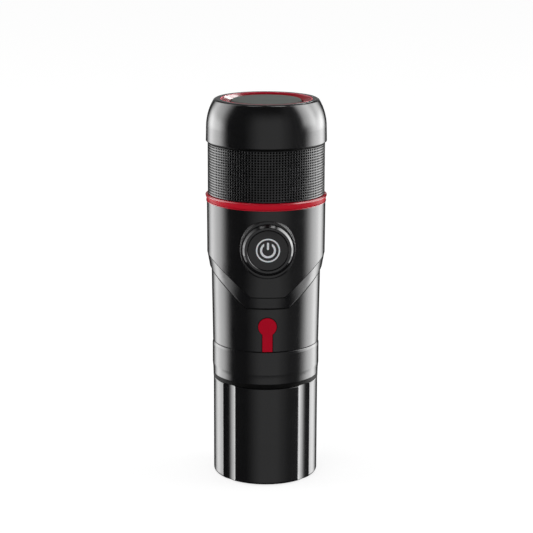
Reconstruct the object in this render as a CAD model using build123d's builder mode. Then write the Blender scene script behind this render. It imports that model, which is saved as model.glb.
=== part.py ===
from build123d import *
from math import cos, radians, sin, sqrt
import os

# Portable coffee maker, millimetres, +Z up, front on -Y, origin at the middle of the foot.
# From the table up: fluted cup, brew head with its coffee basket, main unit, water tank, lid.

# Gaps and running clearances
rest_gap = 0.3
slip_clearance = 0.1
shaft_clearance = 0.05
overcut = 1.0

# Cells and pump, which set the girth of the whole unit
pump_radius = 10.0
pump_clearance = 0.35
cell_radius = 9.25
cell_length = 65.0
cell_clearance = 0.15
cell_cap_height = 1.2
cell_cap_radius = 3.0

# Main unit, lower housing
lower_wall = 2.2
lower_growth = 0.7
lower_cone_height = 44.4
lower_height = 57.4
housing_floor = 2.5

# Main unit, upper housing with its stepped front edge
upper_wall = 2.2
upper_growth = 0.35
step_height = 26.2
step_half_width = 12.4
step_slope_deg = 43.0
step_bevel_height = 7.0
step_bevel_depth = 2.0

# Radial steps between the modules
ring_step = 0.75
ring_foot_step = 0.15
band_step = 0.6
lid_step = 1.05
collar_step = 0.25
seal_step = 0.45
cup_step = 0.6

# Cup
cup_height = 59.2
cup_wall = 2.6
cup_floor = 3.4
cup_foot_fillet = 1.4
cup_rim_chamfer = 0.5
flute_angle_deg = 46.0
flute_depth = 1.4
flute_radius = 12.6
pad_radius = 25.0
pad_thickness = 1.8
pad_proud = 0.3
pad_groove_depth = 0.6
pad_groove_width = 1.0
pad_groove_spacing = 4.0
pad_border = 6.0

# Brew head
seal_band_height = 2.3
seal_lip_thickness = 0.9
seal_lip_length = 7.0
collar_height = 19.5
collar_wall = 2.4
collar_bevel_height = 1.8
collar_bevel_depth = 0.45
collar_curve_height = 6.0
collar_curve_depth = 0.4
skirt_wall = 1.6
skirt_floor = 2.0
nozzle_flange_radius = 7.0
nozzle_flange_height = 1.0
nozzle_radius = 4.2
nozzle_tip_radius = 3.4
nozzle_length = 7.5
nozzle_bore = 2.4
nozzle_taper_start = 1.0
nozzle_funnel_depth = 1.5

# Coffee basket
basket_depth = 24.0
basket_wall = 1.4
basket_flange = 2.2
basket_floor = 1.6
screen_ledge = 2.5
screen_thickness = 0.5
screen_hole_radius = 0.9

# Neck, gasket and shower under the main unit
neck_engagement = 5.5
neck_clearance = 0.35
neck_wall = 5.1
neck_flange_height = 2.0
gasket_height = 4.2
gasket_rim_cover = 0.6
gasket_lip = 0.7
shower_cavity = 1.5
shower_step = 2.0
shower_hole_radius = 1.0

# Heater bay and heater
bay_height = 8.7
heater_radius = 14.0
heater_foot_radius = 17.5
heater_foot_height = 1.6
heater_gap = 1.3
heater_outlet_radius = 3.0
water_bore = 1.2
stub_radius = 1.7
stub_length = 1.5
sensor_radius = 2.4
sensor_height = 1.0

# Inner frame
frame_plate = 2.2
frame_top_plate = 1.8
frame_window_radius = 8.0
frame_top_window_radius = 18.0
frame_leg_radius = 2.3
column_depth = 5.5
column_width = 8.0
cell_headroom = 0.4

# Screws
screw_head_radius = 1.9
screw_head_height = 1.4
screw_radius = 1.0
screw_bite = 4.0
screw_recess = 1.0
deck_screw_circle = 22.0

# Pump, motor and hoses
pump_head_height = 28.0
motor_headroom = 7.0
motor_boss_radius = 4.0
motor_boss_height = 1.5
motor_edge_fillet = 1.0
crank_room_radius = 6.6
crank_room_height = 9.0
crank_disc_radius = 3.5
crank_throw = 1.0
crank_disc_height = 4.0
shaft_radius = 1.0
shaft_in_motor = 6.0
hose_radius = 2.3
hose_bore = 1.3
hose_bend = 4.5
hose_offset = 5.2
hose_port_drop = 5.0
hose_gap = 1.2
hose_bend_room = 0.3
side_port_length = 2.0
inner_stub_gap = 0.6
outlet_hose_wall = 0.9

# Control board and switch
board_thickness = 1.6
board_width = 34.0
board_foot_height = 7.5
switch_size = 12.0
switch_depth = 4.3
switch_corner = 1.0
plunger_radius = 2.0
plunger_reach = 3.3
plunger_seat = 1.3

# Power button
button_height = 61.2
button_travel = 0.8
button_overtravel = 0.3
boss_height = 2.3
boss_foot_half_width = 15.6
boss_foot_half_height = 18.0
boss_face_half_width = 15.5
boss_face_half_height = 16.4
boss_setback = 1.6
boss_sink = 1.5
boss_root = 4.0
bezel_radius = 14.8
bezel_rim_width = 1.6
bezel_rim_depth = 1.9
bezel_fillet = 0.4
bezel_bore = 11.5
bezel_bevel = 0.5
bezel_flange = 1.5
bezel_flange_depth = 1.8
bezel_web = 1.5
cap_clearance = 0.15
cap_setback = 0.25
cap_thickness = 3.0
cap_dish = 0.9
stem_radius = 3.0
stem_clearance = 0.4
symbol_depth = 0.6
symbol_ring_radius = 6.85
symbol_ring_line = 0.8
symbol_arc_radius = 4.5
symbol_arc_line = 1.2
symbol_gap_width = 4.4
symbol_bar_length = 4.4
symbol_bar_rise = 2.4

# Charging port and its flap
port_height = 15.1
port_floor = 1.0
flap_thickness = 1.3
flap_head_radius = 5.3
flap_tail_width = 5.8
flap_clearance = 0.25
flap_hinge_height = 0.8
flap_stem_radius = 1.9
flap_stem_length = 3.0
jack_width = 9.0
jack_height = 11.0
jack_depth = 12.0
jack_bore = 2.8
jack_bore_depth = 9.5
jack_pin_radius = 1.0
jack_pin_length = 6.5
jack_board_thickness = 1.6
jack_board_width = 14.0
jack_board_height = 15.0
anchor_width = 4.0
anchor_height = 2.4
anchor_barb = 0.5
anchor_barb_depth = 1.2

# Deck and red ring on top of the main unit
deck_thickness = 2.3
deck_rebate = 0.9
deck_lip = 0.65
accent_ring_height = 4.3
accent_ring_top_bevel = 0.7
socket_clearance = 0.3
socket_wall = 4.8
inlet_radius = 3.2
inlet_rise = 3.4

# Water tank
band_height = 30.4
band_wall = 1.9
tank_wall = 1.8
tank_floor = 2.0
tank_floor_rise = 1.3
spigot_wall = 1.9
tank_neck_height = 8.8
tank_neck_step = 2.2
tank_seal_height = 1.0
valve_wall = 0.9
valve_flange_radius = 6.0
valve_flange_height = 1.0

# Lid
lid_height = 24.1
lid_straight_height = 8.6
lid_straight_draw = 0.2
lid_shoulder_draw = 4.4
lid_crown_drop = 0.6
lid_top_edge = 1.0
lid_wall = 2.2
lid_inner_draw = 2.9
lid_top_wall = 2.0
lid_ring_radius = 26.7
lid_ring_width = 5.3
lid_ring_rim = 1.0
lid_ring_dish = 1.4
lid_ring_height = 2.1
lid_ring_proud = 0.2
lid_ring_fillet = 0.3
lid_disc_radius = 20.2
lid_disc_height = 1.7
lid_disc_bevel = 0.5
liner_wall = 1.7
liner_top = 1.5
liner_room = 6.6
liner_skirt = 0.6
liner_rim_height = 1.5
liner_shoulder = 1.0
gasket_ring_height = 1.6
gasket_ring_width = 2.2
vent_radius = 2.6
vent_head_radius = 4.0
vent_head_height = 0.8

# Radii, from the cells outward
cell_circle = pump_radius + pump_clearance + cell_radius
lower_inner = cell_circle + cell_radius + cell_clearance
lower_outer = lower_inner + lower_wall
lower_outer_top = lower_outer + lower_growth
upper_inner = lower_outer_top + slip_clearance
upper_outer = upper_inner + upper_wall
upper_outer_top = upper_outer + upper_growth
ring_outer = upper_outer_top + ring_step
ring_foot = upper_outer_top + ring_foot_step
band_outer = upper_outer_top - band_step
lid_outer = band_outer + lid_step
collar_outer = lower_outer + collar_step
seal_outer = collar_outer - seal_step
cup_outer = collar_outer - cup_step
cup_inner = cup_outer - cup_wall
seal_lip_outer = cup_inner - rest_gap
skirt_outer = seal_lip_outer - seal_lip_thickness
skirt_inner = skirt_outer - skirt_wall
collar_bore = collar_outer - collar_wall
neck_outer = collar_bore - neck_clearance
neck_bore = neck_outer - neck_wall
gasket_outer = neck_bore - slip_clearance
basket_outer = gasket_outer - gasket_rim_cover
basket_inner = basket_outer - basket_wall
gasket_inner = basket_inner - gasket_lip
base_screw_circle = (neck_bore + neck_outer) / 2
frame_radius = lower_inner - slip_clearance

# Heights, from the table up
z_cup = pad_proud
z_cup_floor = z_cup + cup_floor
z_cup_top = cup_height
z_seal = z_cup_top + rest_gap
z_collar = z_seal + seal_band_height
z_seam = z_collar + collar_height
z_neck = z_seam - neck_engagement
z_basket_top = z_neck - rest_gap
z_basket_flange = z_basket_top - basket_flange
z_basket_floor = z_basket_top - basket_depth
z_basket_base = z_basket_floor - basket_floor
z_skirt_floor = z_basket_base - rest_gap
z_skirt = z_skirt_floor - skirt_floor
z_main = z_seam + rest_gap
z_neck_flange = z_main + housing_floor
z_bay = z_neck_flange + neck_flange_height
z_screen = z_neck + gasket_height
z_cavity = z_screen + screen_thickness
z_neck_plate = z_cavity + shower_cavity
z_plate = z_bay + bay_height
z_cells = z_plate + frame_plate
z_cells_top = z_cells + cell_length
z_top_plate = z_cells_top + cell_headroom
z_deck = z_top_plate + frame_top_plate
z_ring = z_deck + deck_rebate
z_socket = z_deck + deck_thickness
z_ring_top = z_ring + accent_ring_height
z_motor = z_cells + pump_head_height
z_motor_top = z_cells_top - motor_headroom
z_heater_top = z_plate - heater_gap
z_button = z_main + button_height
z_port = z_main + port_height
z_hinge = z_main + flap_hinge_height
z_step = z_main + step_height
z_anchor = z_bay + rest_gap + anchor_barb + anchor_height / 2
z_tank = z_ring_top + rest_gap
z_spigot = z_socket + rest_gap
z_seal_seat = z_spigot + tank_seal_height
z_tank_floor = z_tank + tank_floor_rise
z_tank_inside = z_tank_floor + tank_floor
z_band_top = z_tank + band_height
z_shoulder = z_band_top - tank_wall
z_tank_top = z_band_top + tank_neck_height
z_lid = z_band_top + rest_gap
z_top = z_lid + lid_height
z_gasket = z_tank_top + rest_gap
z_liner_step = z_gasket + gasket_ring_height
z_liner_top = z_liner_step + liner_room

# Directions of the three cells and of what stands between them, seen from above
cell_angles = (90.0, -30.0, -150.0)
column_angles = (30.0, 150.0)
screw_angles = (30.0, 150.0, -40.0, -140.0)

big = 4 * lid_outer


def turn(points, mode=Mode.ADD):
    """Revolve a closed outline of (radius, height) points about the vertical axis."""
    with BuildSketch(Plane.XZ) as outline:
        with BuildLine():
            Polyline(*points, close=True)
        make_face()
    revolve(outline.sketch, axis=Axis.Z, mode=mode)


def tube(inner, outer, low, high, mode=Mode.ADD):
    """Revolve a plain ring between two radii and two heights."""
    turn([(inner, low), (outer, low), (outer, high), (inner, high)], mode)


def polar(radius, angle_deg):
    """Point in plan at a radius and an angle."""
    return radius * cos(radians(angle_deg)), radius * sin(radians(angle_deg))


def screen_holes(radius, hole, rings):
    """Cut the round holes of a water screen: one in the middle, then rings of six more each."""
    Hole(radius=hole)
    for ring in range(1, rings + 1):
        with PolarLocations(radius * ring / (rings + 0.5), 6 * ring):
            Hole(radius=hole)


def finish(part, name):
    """Label a finished piece and write it to its file."""
    part.label = name
    export_step(part, "parts/" + name + ".step")


os.makedirs("parts", exist_ok=True)
button_plane = Plane(origin=(0, 0, z_button), x_dir=(1, 0, 0), z_dir=(0, -1, 0))
port_plane = Plane(origin=(0, 0, z_port), x_dir=(1, 0, 0), z_dir=(0, -1, 0))

# Cup, with four hollow flutes drawn down its outside
flute_centre = cup_outer - flute_depth + flute_radius
with BuildPart() as cup:
    tube(0, cup_outer, z_cup, z_cup_top)
    foot = cup.edges().filter_by(GeomType.CIRCLE).sort_by(Axis.Z)[0]
    fillet(foot, cup_foot_fillet)
    rim = cup.edges().filter_by(GeomType.CIRCLE).sort_by(Axis.Z)[-1]
    chamfer(rim, cup_rim_chamfer)
    tube(0, cup_inner, z_cup_floor, z_cup_top + overcut, Mode.SUBTRACT)
    tube(0, pad_radius, z_cup - overcut, pad_thickness, Mode.SUBTRACT)
    with BuildSketch(Plane.XY.offset(z_cup - overcut)) as flutes:
        for flute_deg in (flute_angle_deg - 90, 90 - flute_angle_deg,
                          flute_angle_deg + 90, -flute_angle_deg - 90):
            with Locations(polar(flute_centre, flute_deg)):
                Circle(flute_radius)
    extrude(flutes.sketch, amount=cup_height + 2 * overcut, mode=Mode.SUBTRACT)
finish(cup.part, "cup")

with BuildPart() as cup_base_pad:
    tube(0, pad_radius - slip_clearance, 0, pad_thickness)
    for groove in (pad_radius - pad_border, pad_radius - pad_border - pad_groove_spacing):
        tube(groove, groove + pad_groove_width, -overcut, pad_groove_depth, Mode.SUBTRACT)
finish(cup_base_pad.part, "cup_base_pad")

# Brew head: collar with a skirt that hangs in the cup
with BuildPart() as brew_collar:
    with BuildSketch(Plane.XZ) as collar_outline:
        with BuildLine():
            Polyline(
                (nozzle_radius + shaft_clearance, z_skirt), (skirt_outer, z_skirt), (skirt_outer, z_collar),
                (collar_outer - collar_curve_depth, z_collar),
            )
            TangentArc(
                (collar_outer, z_collar + collar_curve_height),
                (collar_outer - collar_curve_depth, z_collar),
                tangent=(0, 1), tangent_from_first=False,
            )
            Polyline(
                (collar_outer, z_collar + collar_curve_height), (collar_outer, z_seam - collar_bevel_height),
                (collar_outer - collar_bevel_depth, z_seam), (collar_bore, z_seam),
                (collar_bore, z_basket_flange - rest_gap), (skirt_inner, z_basket_flange - rest_gap),
                (skirt_inner, z_skirt_floor), (nozzle_radius + shaft_clearance, z_skirt_floor),
                (nozzle_radius + shaft_clearance, z_skirt),
            )
        make_face()
    revolve(collar_outline.sketch, axis=Axis.Z)
    tube(0, nozzle_flange_radius + slip_clearance,
         z_skirt_floor - nozzle_flange_height, z_skirt_floor + overcut, Mode.SUBTRACT)
finish(brew_collar.part, "brew_collar")

with BuildPart() as cup_seal_ring:
    turn([
        (skirt_outer, z_seal - seal_lip_length), (seal_lip_outer, z_seal - seal_lip_length),
        (seal_lip_outer, z_seal), (seal_outer, z_seal), (seal_outer, z_collar), (skirt_outer, z_collar),
    ])
finish(cup_seal_ring.part, "cup_seal_ring")

with BuildPart() as spout_nozzle:
    turn([
        (nozzle_bore, z_skirt - nozzle_length), (nozzle_tip_radius, z_skirt - nozzle_length),
        (nozzle_radius, z_skirt - nozzle_taper_start), (nozzle_radius, z_skirt_floor - nozzle_flange_height),
        (nozzle_flange_radius, z_skirt_floor - nozzle_flange_height), (nozzle_flange_radius, z_skirt_floor),
        (nozzle_radius, z_skirt_floor), (nozzle_bore, z_skirt_floor - nozzle_funnel_depth),
    ])
finish(spout_nozzle.part, "spout_nozzle")

# Coffee basket with a perforated screen resting on the ledge in its floor
ledge_radius = basket_inner - screen_ledge
with BuildPart() as coffee_basket:
    turn([
        (ledge_radius, z_basket_base), (basket_outer, z_basket_base), (basket_outer, z_basket_flange),
        (collar_bore - rest_gap, z_basket_flange), (collar_bore - rest_gap, z_basket_top),
        (basket_inner, z_basket_top), (basket_inner, z_basket_floor), (ledge_radius, z_basket_floor),
    ])
finish(coffee_basket.part, "coffee_basket")

with BuildPart(Plane.XY.offset(z_basket_floor)) as basket_screen:
    Cylinder(basket_inner - slip_clearance, screen_thickness, align=(Align.CENTER, Align.CENTER, Align.MIN))
    screen_holes(ledge_radius, screen_hole_radius, 3)
finish(basket_screen.part, "basket_screen")

# Tool for the keyhole pocket of the port flap, and the flap's own outline
port_radius = lower_outer + lower_growth * port_height / lower_cone_height
pocket_radius = port_radius - (lower_wall - port_floor)
flap_inner = pocket_radius + slip_clearance
flap_outer = flap_inner + flap_thickness
flap_axis = flap_inner + flap_thickness / 2
hinge_drop = z_port - z_hinge


def keyhole(clearance, drop):
    """Round head with a strap hanging from it, seen from the front, grown by a clearance."""
    with BuildSketch(port_plane) as outline:
        Circle(flap_head_radius + clearance)
        with Locations((0, -drop / 2)):
            Rectangle(flap_tail_width + 2 * clearance, drop)
    return outline.sketch


with BuildPart() as port_pocket:
    extrude(keyhole(flap_clearance, hinge_drop + flap_thickness / 2 + flap_clearance), amount=big)
    tube(0, pocket_radius, z_seam, z_button, Mode.SUBTRACT)

with BuildPart() as lower_housing:
    turn([
        (neck_outer + slip_clearance, z_main), (lower_outer, z_main),
        (lower_outer_top, z_main + lower_cone_height), (lower_outer_top, z_main + lower_height),
        (lower_outer_top - lower_wall, z_main + lower_height),
        (lower_outer_top - lower_wall, z_main + lower_cone_height),
        (lower_inner, z_neck_flange), (neck_outer + slip_clearance, z_neck_flange),
    ])
    add(port_pocket.part, mode=Mode.SUBTRACT)
    with BuildSketch(port_plane) as port_holes:
        Circle(jack_bore + slip_clearance)
        with Locations((0, z_anchor - z_port)):
            Rectangle(anchor_width + 2 * slip_clearance, anchor_height + 2 * slip_clearance)
    extrude(port_holes.sketch, amount=big, mode=Mode.SUBTRACT)
    bezel_room = button_plane.offset(lower_inner / 2)
    with BuildSketch(bezel_room) as bezel_opening:
        Circle(bezel_radius + bezel_flange + slip_clearance)
    extrude(bezel_opening.sketch, amount=big, mode=Mode.SUBTRACT)
finish(lower_housing.part, "lower_housing")

# Upper housing: its lower edge drops to a flat bib at the front and back and rises at the sides
boss_front = upper_outer + boss_height
step_rise = (big - step_half_width) * sin(radians(step_slope_deg)) / cos(radians(step_slope_deg))
with BuildPart() as upper_housing:
    turn([(0, z_main), (upper_outer, z_main), (upper_outer_top, z_ring), (0, z_ring)])
    with BuildSketch(Plane.XZ) as step_outline:
        with BuildLine():
            Polyline(
                (-big, z_main - overcut), (-big, z_step + step_rise), (-step_half_width, z_step),
                (step_half_width, z_step), (big, z_step + step_rise), (big, z_main - overcut), close=True,
            )
        make_face()
    extrude(step_outline.sketch, amount=big, both=True, mode=Mode.SUBTRACT)
    tube(0, upper_inner, z_main - overcut, z_ring + overcut, Mode.SUBTRACT)
    outer_face = upper_housing.faces().sort_by(SortBy.AREA).filter_by(GeomType.CONE)[-1]
    step_edges = outer_face.edges().filter_by(lambda edge: edge.center().Z < z_ring - overcut and
                                              (edge.geom_type == GeomType.ELLIPSE or
                                               abs(edge.center().X) < step_half_width))
    chamfer(step_edges, length=step_bevel_height, length2=step_bevel_depth, reference=outer_face)
    with BuildSketch(button_plane.offset(upper_outer - boss_sink)) as boss_foot:
        Ellipse(boss_foot_half_width, boss_foot_half_height)
    extrude(boss_foot.sketch, amount=-boss_root)
    with BuildSketch(button_plane.offset(boss_front - boss_setback)) as boss_face:
        Ellipse(boss_face_half_width, boss_face_half_height)
    loft([boss_foot.sketch.face(), boss_face.sketch.face()])
    tube(0, upper_inner, z_main - overcut, z_ring + overcut, Mode.SUBTRACT)
    with BuildSketch(button_plane) as bezel_hole:
        Circle(bezel_radius + slip_clearance)
    extrude(bezel_hole.sketch, amount=big, mode=Mode.SUBTRACT)
finish(upper_housing.part, "upper_housing")

# Button bezel, turned about the button's own axis: a ring with a snap flange behind the wall
cap_front = boss_front - cap_setback
cap_back = cap_front - cap_thickness
web_front = cap_back - button_travel - button_overtravel
flange_front = sqrt(upper_inner ** 2 - (bezel_radius + bezel_flange) ** 2) - slip_clearance
with BuildPart() as button_bezel:
    with BuildSketch(button_plane.offset(flange_front - bezel_flange_depth)) as bezel_body:
        Circle(bezel_radius)
    extrude(bezel_body.sketch, amount=boss_front - flange_front + bezel_flange_depth)
    bezel_face = button_bezel.faces().sort_by(Axis.Y)[0]
    chamfer(bezel_face.edges(), length=bezel_rim_width, length2=bezel_rim_depth, reference=bezel_face)
    fillet(button_bezel.edges().filter_by(GeomType.CIRCLE).sort_by(Axis.Y)[0], bezel_fillet)
    with BuildSketch(button_plane.offset(flange_front - bezel_flange_depth)) as bezel_snap:
        Circle(bezel_radius + bezel_flange)
    extrude(bezel_snap.sketch, amount=bezel_flange_depth)
    with BuildSketch(button_plane.offset(web_front)) as front_bore:
        Circle(bezel_bore)
    extrude(front_bore.sketch, amount=big, mode=Mode.SUBTRACT)
    inner_edge = button_bezel.edges().filter_by(GeomType.CIRCLE).sort_by(Axis.Y)
    chamfer(inner_edge.filter_by(lambda edge: abs(edge.radius - bezel_bore) < 0.01)[0], bezel_bevel)
    with BuildSketch(button_plane) as back_bore:
        Circle(bezel_bore)
    extrude(back_bore.sketch, amount=web_front - bezel_web, mode=Mode.SUBTRACT)
    with BuildSketch(button_plane) as stem_hole:
        Circle(stem_radius + stem_clearance)
    extrude(stem_hole.sketch, amount=big, mode=Mode.SUBTRACT)
finish(button_bezel.part, "button_bezel")

# Power button: dished cap with a stem, and the light symbol let into its face
cap_radius = bezel_bore - cap_clearance
dish_radius = (cap_radius ** 2 + cap_dish ** 2) / (2 * cap_dish)
board_back = cell_radius + rest_gap - cell_circle * sin(radians(cell_angles[1]))
board_front = board_back + board_thickness
switch_front = board_front + switch_depth
plunger_front = switch_front + plunger_reach
with BuildPart() as symbol:
    with BuildSketch(button_plane.offset(cap_back)) as symbol_ring:
        Circle(symbol_ring_radius)
        Circle(symbol_ring_radius - symbol_ring_line, mode=Mode.SUBTRACT)
    extrude(symbol_ring.sketch, amount=cap_thickness)
    with BuildSketch(button_plane.offset(cap_back)) as symbol_arc:
        Circle(symbol_arc_radius)
        Circle(symbol_arc_radius - symbol_arc_line, mode=Mode.SUBTRACT)
        with Locations((0, symbol_arc_radius)):
            Rectangle(symbol_gap_width, symbol_arc_radius, mode=Mode.SUBTRACT)
        with Locations((0, symbol_bar_rise)):
            SlotOverall(symbol_bar_length, symbol_arc_line, rotation=90)
    extrude(symbol_arc.sketch, amount=cap_thickness)
symbol_blank = symbol.part

with BuildPart() as dish:
    with BuildSketch(Plane.YZ) as dish_outline:
        with Locations((-cap_front - dish_radius + cap_dish, z_button)):
            Circle(dish_radius)
            Rectangle(big * big, 2 * dish_radius, align=(Align.CENTER, Align.MAX), mode=Mode.SUBTRACT)
    revolve(dish_outline.sketch, axis=Axis((0, 0, z_button), (0, 1, 0)))

with BuildPart() as power_button:
    with BuildSketch(button_plane.offset(cap_back)) as cap_disc:
        Circle(cap_radius)
    extrude(cap_disc.sketch, amount=cap_thickness)
    add(dish.part, mode=Mode.SUBTRACT)
    with BuildSketch(button_plane.offset(plunger_front)) as stem_disc:
        Circle(stem_radius)
    extrude(stem_disc.sketch, amount=cap_back - plunger_front)
    add(symbol_blank, mode=Mode.SUBTRACT)
    with BuildSketch(button_plane.offset(cap_back)) as backing:
        Circle(symbol_ring_radius + symbol_ring_line)
    extrude(backing.sketch, amount=cap_thickness - cap_dish - symbol_depth)
finish(power_button.part, "power_button")

with BuildPart() as power_symbol:
    add(symbol_blank)
    add(power_button.part, mode=Mode.SUBTRACT)
    add(dish.part, mode=Mode.SUBTRACT)
finish(power_symbol.part, "power_symbol")

with BuildPart() as switch_plunger:
    with BuildSketch(button_plane.offset(switch_front - plunger_seat)) as plunger_disc:
        Circle(plunger_radius)
    extrude(plunger_disc.sketch, amount=plunger_front - switch_front + plunger_seat)
finish(switch_plunger.part, "switch_plunger")

with BuildPart() as button_switch:
    with BuildSketch(button_plane.offset(board_front)) as switch_body:
        RectangleRounded(switch_size, switch_size, switch_corner)
    extrude(switch_body.sketch, amount=switch_depth)
    well_depth = plunger_seat + button_travel + button_overtravel
    with BuildSketch(button_plane.offset(switch_front - well_depth)) as well:
        Circle(plunger_radius + shaft_clearance)
    extrude(well.sketch, amount=big, mode=Mode.SUBTRACT)
finish(button_switch.part, "button_switch")

board_foot = z_cells + board_foot_height
with BuildPart() as control_board:
    with BuildSketch(Plane.XZ.offset(board_back)):
        with Locations((0, board_foot)):
            Rectangle(board_width, z_deck - rest_gap - board_foot, align=(Align.CENTER, Align.MIN))
    extrude(amount=board_thickness)
finish(control_board.part, "control_board")

# Charging port: red flap on a foot roll, its anchor, the socket and its small board
with BuildPart() as port_flap:
    extrude(keyhole(0, hinge_drop), amount=big)
    tube(0, flap_inner, z_seam, z_button, Mode.SUBTRACT)
    tube(flap_outer, big + flap_outer, z_seam, z_button, Mode.SUBTRACT)
    with BuildSketch(Plane.YZ) as foot_roll:
        with Locations((-flap_axis, z_hinge)):
            Circle(flap_thickness / 2)
    extrude(foot_roll.sketch, amount=flap_tail_width / 2, both=True)
    with BuildSketch(port_plane.offset(flap_inner - flap_stem_length)) as flap_stem:
        Circle(flap_stem_radius)
    extrude(flap_stem.sketch, amount=flap_stem_length + flap_thickness / 2)
finish(port_flap.part, "port_flap")

anchor_plane = Plane(origin=(0, 0, z_anchor), x_dir=(1, 0, 0), z_dir=(0, -1, 0))
wall_inside = lower_inner - slip_clearance
with BuildPart() as flap_anchor:
    with BuildSketch(anchor_plane.offset(wall_inside - anchor_barb_depth)) as anchor_post:
        Rectangle(anchor_width, anchor_height)
    extrude(anchor_post.sketch, amount=pocket_radius - wall_inside + anchor_barb_depth - slip_clearance)
    with BuildSketch(anchor_plane.offset(wall_inside - anchor_barb_depth - anchor_barb)) as anchor_head:
        Rectangle(anchor_width + 2 * anchor_barb, anchor_height + 2 * anchor_barb)
    extrude(anchor_head.sketch, amount=anchor_barb)
finish(flap_anchor.part, "flap_anchor")

jack_front = sqrt(lower_inner ** 2 - (jack_width / 2) ** 2) - slip_clearance
jack_back = jack_front - jack_depth
with BuildPart() as charge_socket:
    with BuildSketch(port_plane.offset(jack_back)) as jack_body:
        Rectangle(jack_width, jack_height)
    extrude(jack_body.sketch, amount=jack_depth)
    with BuildSketch(port_plane.offset(jack_front - jack_bore_depth)) as jack_hole:
        Circle(jack_bore)
        Circle(jack_pin_radius, mode=Mode.SUBTRACT)
    extrude(jack_hole.sketch, amount=jack_bore_depth, mode=Mode.SUBTRACT)
    with BuildSketch(port_plane.offset(jack_front - jack_bore_depth + jack_pin_length)) as pin_tip:
        Circle(jack_pin_radius)
    extrude(pin_tip.sketch, amount=big, mode=Mode.SUBTRACT)
finish(charge_socket.part, "charge_socket")

jack_board_back = jack_back - jack_board_thickness
with BuildPart() as charge_board:
    with BuildSketch(port_plane.offset(jack_board_back)):
        Rectangle(jack_board_width, jack_board_height)
    extrude(amount=jack_board_thickness)
finish(charge_board.part, "charge_board")

# Neck under the main unit, with the gasket and the shower screen inside it
with BuildPart() as brew_neck:
    turn([
        (neck_bore, z_neck), (neck_outer, z_neck), (neck_outer, z_neck_flange),
        (lower_inner - slip_clearance, z_neck_flange), (lower_inner - slip_clearance, z_bay),
        (heater_outlet_radius + slip_clearance, z_bay), (heater_outlet_radius + slip_clearance, z_neck_plate),
        (neck_bore - shower_step, z_neck_plate), (neck_bore - shower_step, z_cavity), (neck_bore, z_cavity),
    ])
    with BuildSketch(Plane.XY.offset(z_neck)) as screw_wells:
        with Locations(*[polar(base_screw_circle, angle) for angle in screw_angles]):
            Circle(screw_head_radius + slip_clearance)
    extrude(screw_wells.sketch, amount=screw_recess + screw_head_height, mode=Mode.SUBTRACT)
    with BuildSketch(Plane.XY.offset(z_neck)) as screw_ways:
        with Locations(*[polar(base_screw_circle, angle) for angle in screw_angles]):
            Circle(screw_radius + shaft_clearance)
    extrude(screw_ways.sketch, amount=big, mode=Mode.SUBTRACT)
finish(brew_neck.part, "brew_neck")

with BuildPart() as brew_gasket:
    tube(gasket_inner, gasket_outer, z_neck, z_screen)
finish(brew_gasket.part, "brew_gasket")

with BuildPart(Plane.XY.offset(z_screen)) as shower_screen:
    Cylinder(neck_bore - slip_clearance, screen_thickness, align=(Align.CENTER, Align.CENTER, Align.MIN))
    screen_holes(gasket_inner, shower_hole_radius, 2)
finish(shower_screen.part, "shower_screen")

with BuildPart() as base_screws:
    for angle in screw_angles:
        with BuildSketch(Plane.XY.offset(z_neck + screw_recess)) as head:
            with Locations(polar(base_screw_circle, angle)):
                Circle(screw_head_radius)
        extrude(head.sketch, amount=screw_head_height)
        with BuildSketch(Plane.XY.offset(z_neck + screw_recess)) as shank:
            with Locations(polar(base_screw_circle, angle)):
                Circle(screw_radius)
        extrude(shank.sketch, amount=z_bay + screw_bite - z_neck - screw_recess)
finish(base_screws.part, "base_screws")

# Heater: a turned boiler with a foot, an outlet spigot below and a hose stub above
with BuildPart() as heater:
    turn([
        (water_bore, z_neck_plate), (heater_outlet_radius, z_neck_plate), (heater_outlet_radius, z_bay),
        (heater_foot_radius, z_bay), (heater_foot_radius, z_bay + heater_foot_height),
        (heater_radius, z_bay + heater_foot_height), (heater_radius, z_heater_top),
        (stub_radius, z_heater_top), (stub_radius, z_heater_top + stub_length),
        (water_bore, z_heater_top + stub_length),
    ])
finish(heater.part, "heater")

with BuildPart(Plane.XY.offset(z_heater_top)) as temperature_sensor:
    with Locations((0, (stub_radius + heater_radius) / 2, 0)):
        Cylinder(sensor_radius, sensor_height, align=(Align.CENTER, Align.CENTER, Align.MIN))
finish(temperature_sensor.part, "temperature_sensor")

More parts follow.
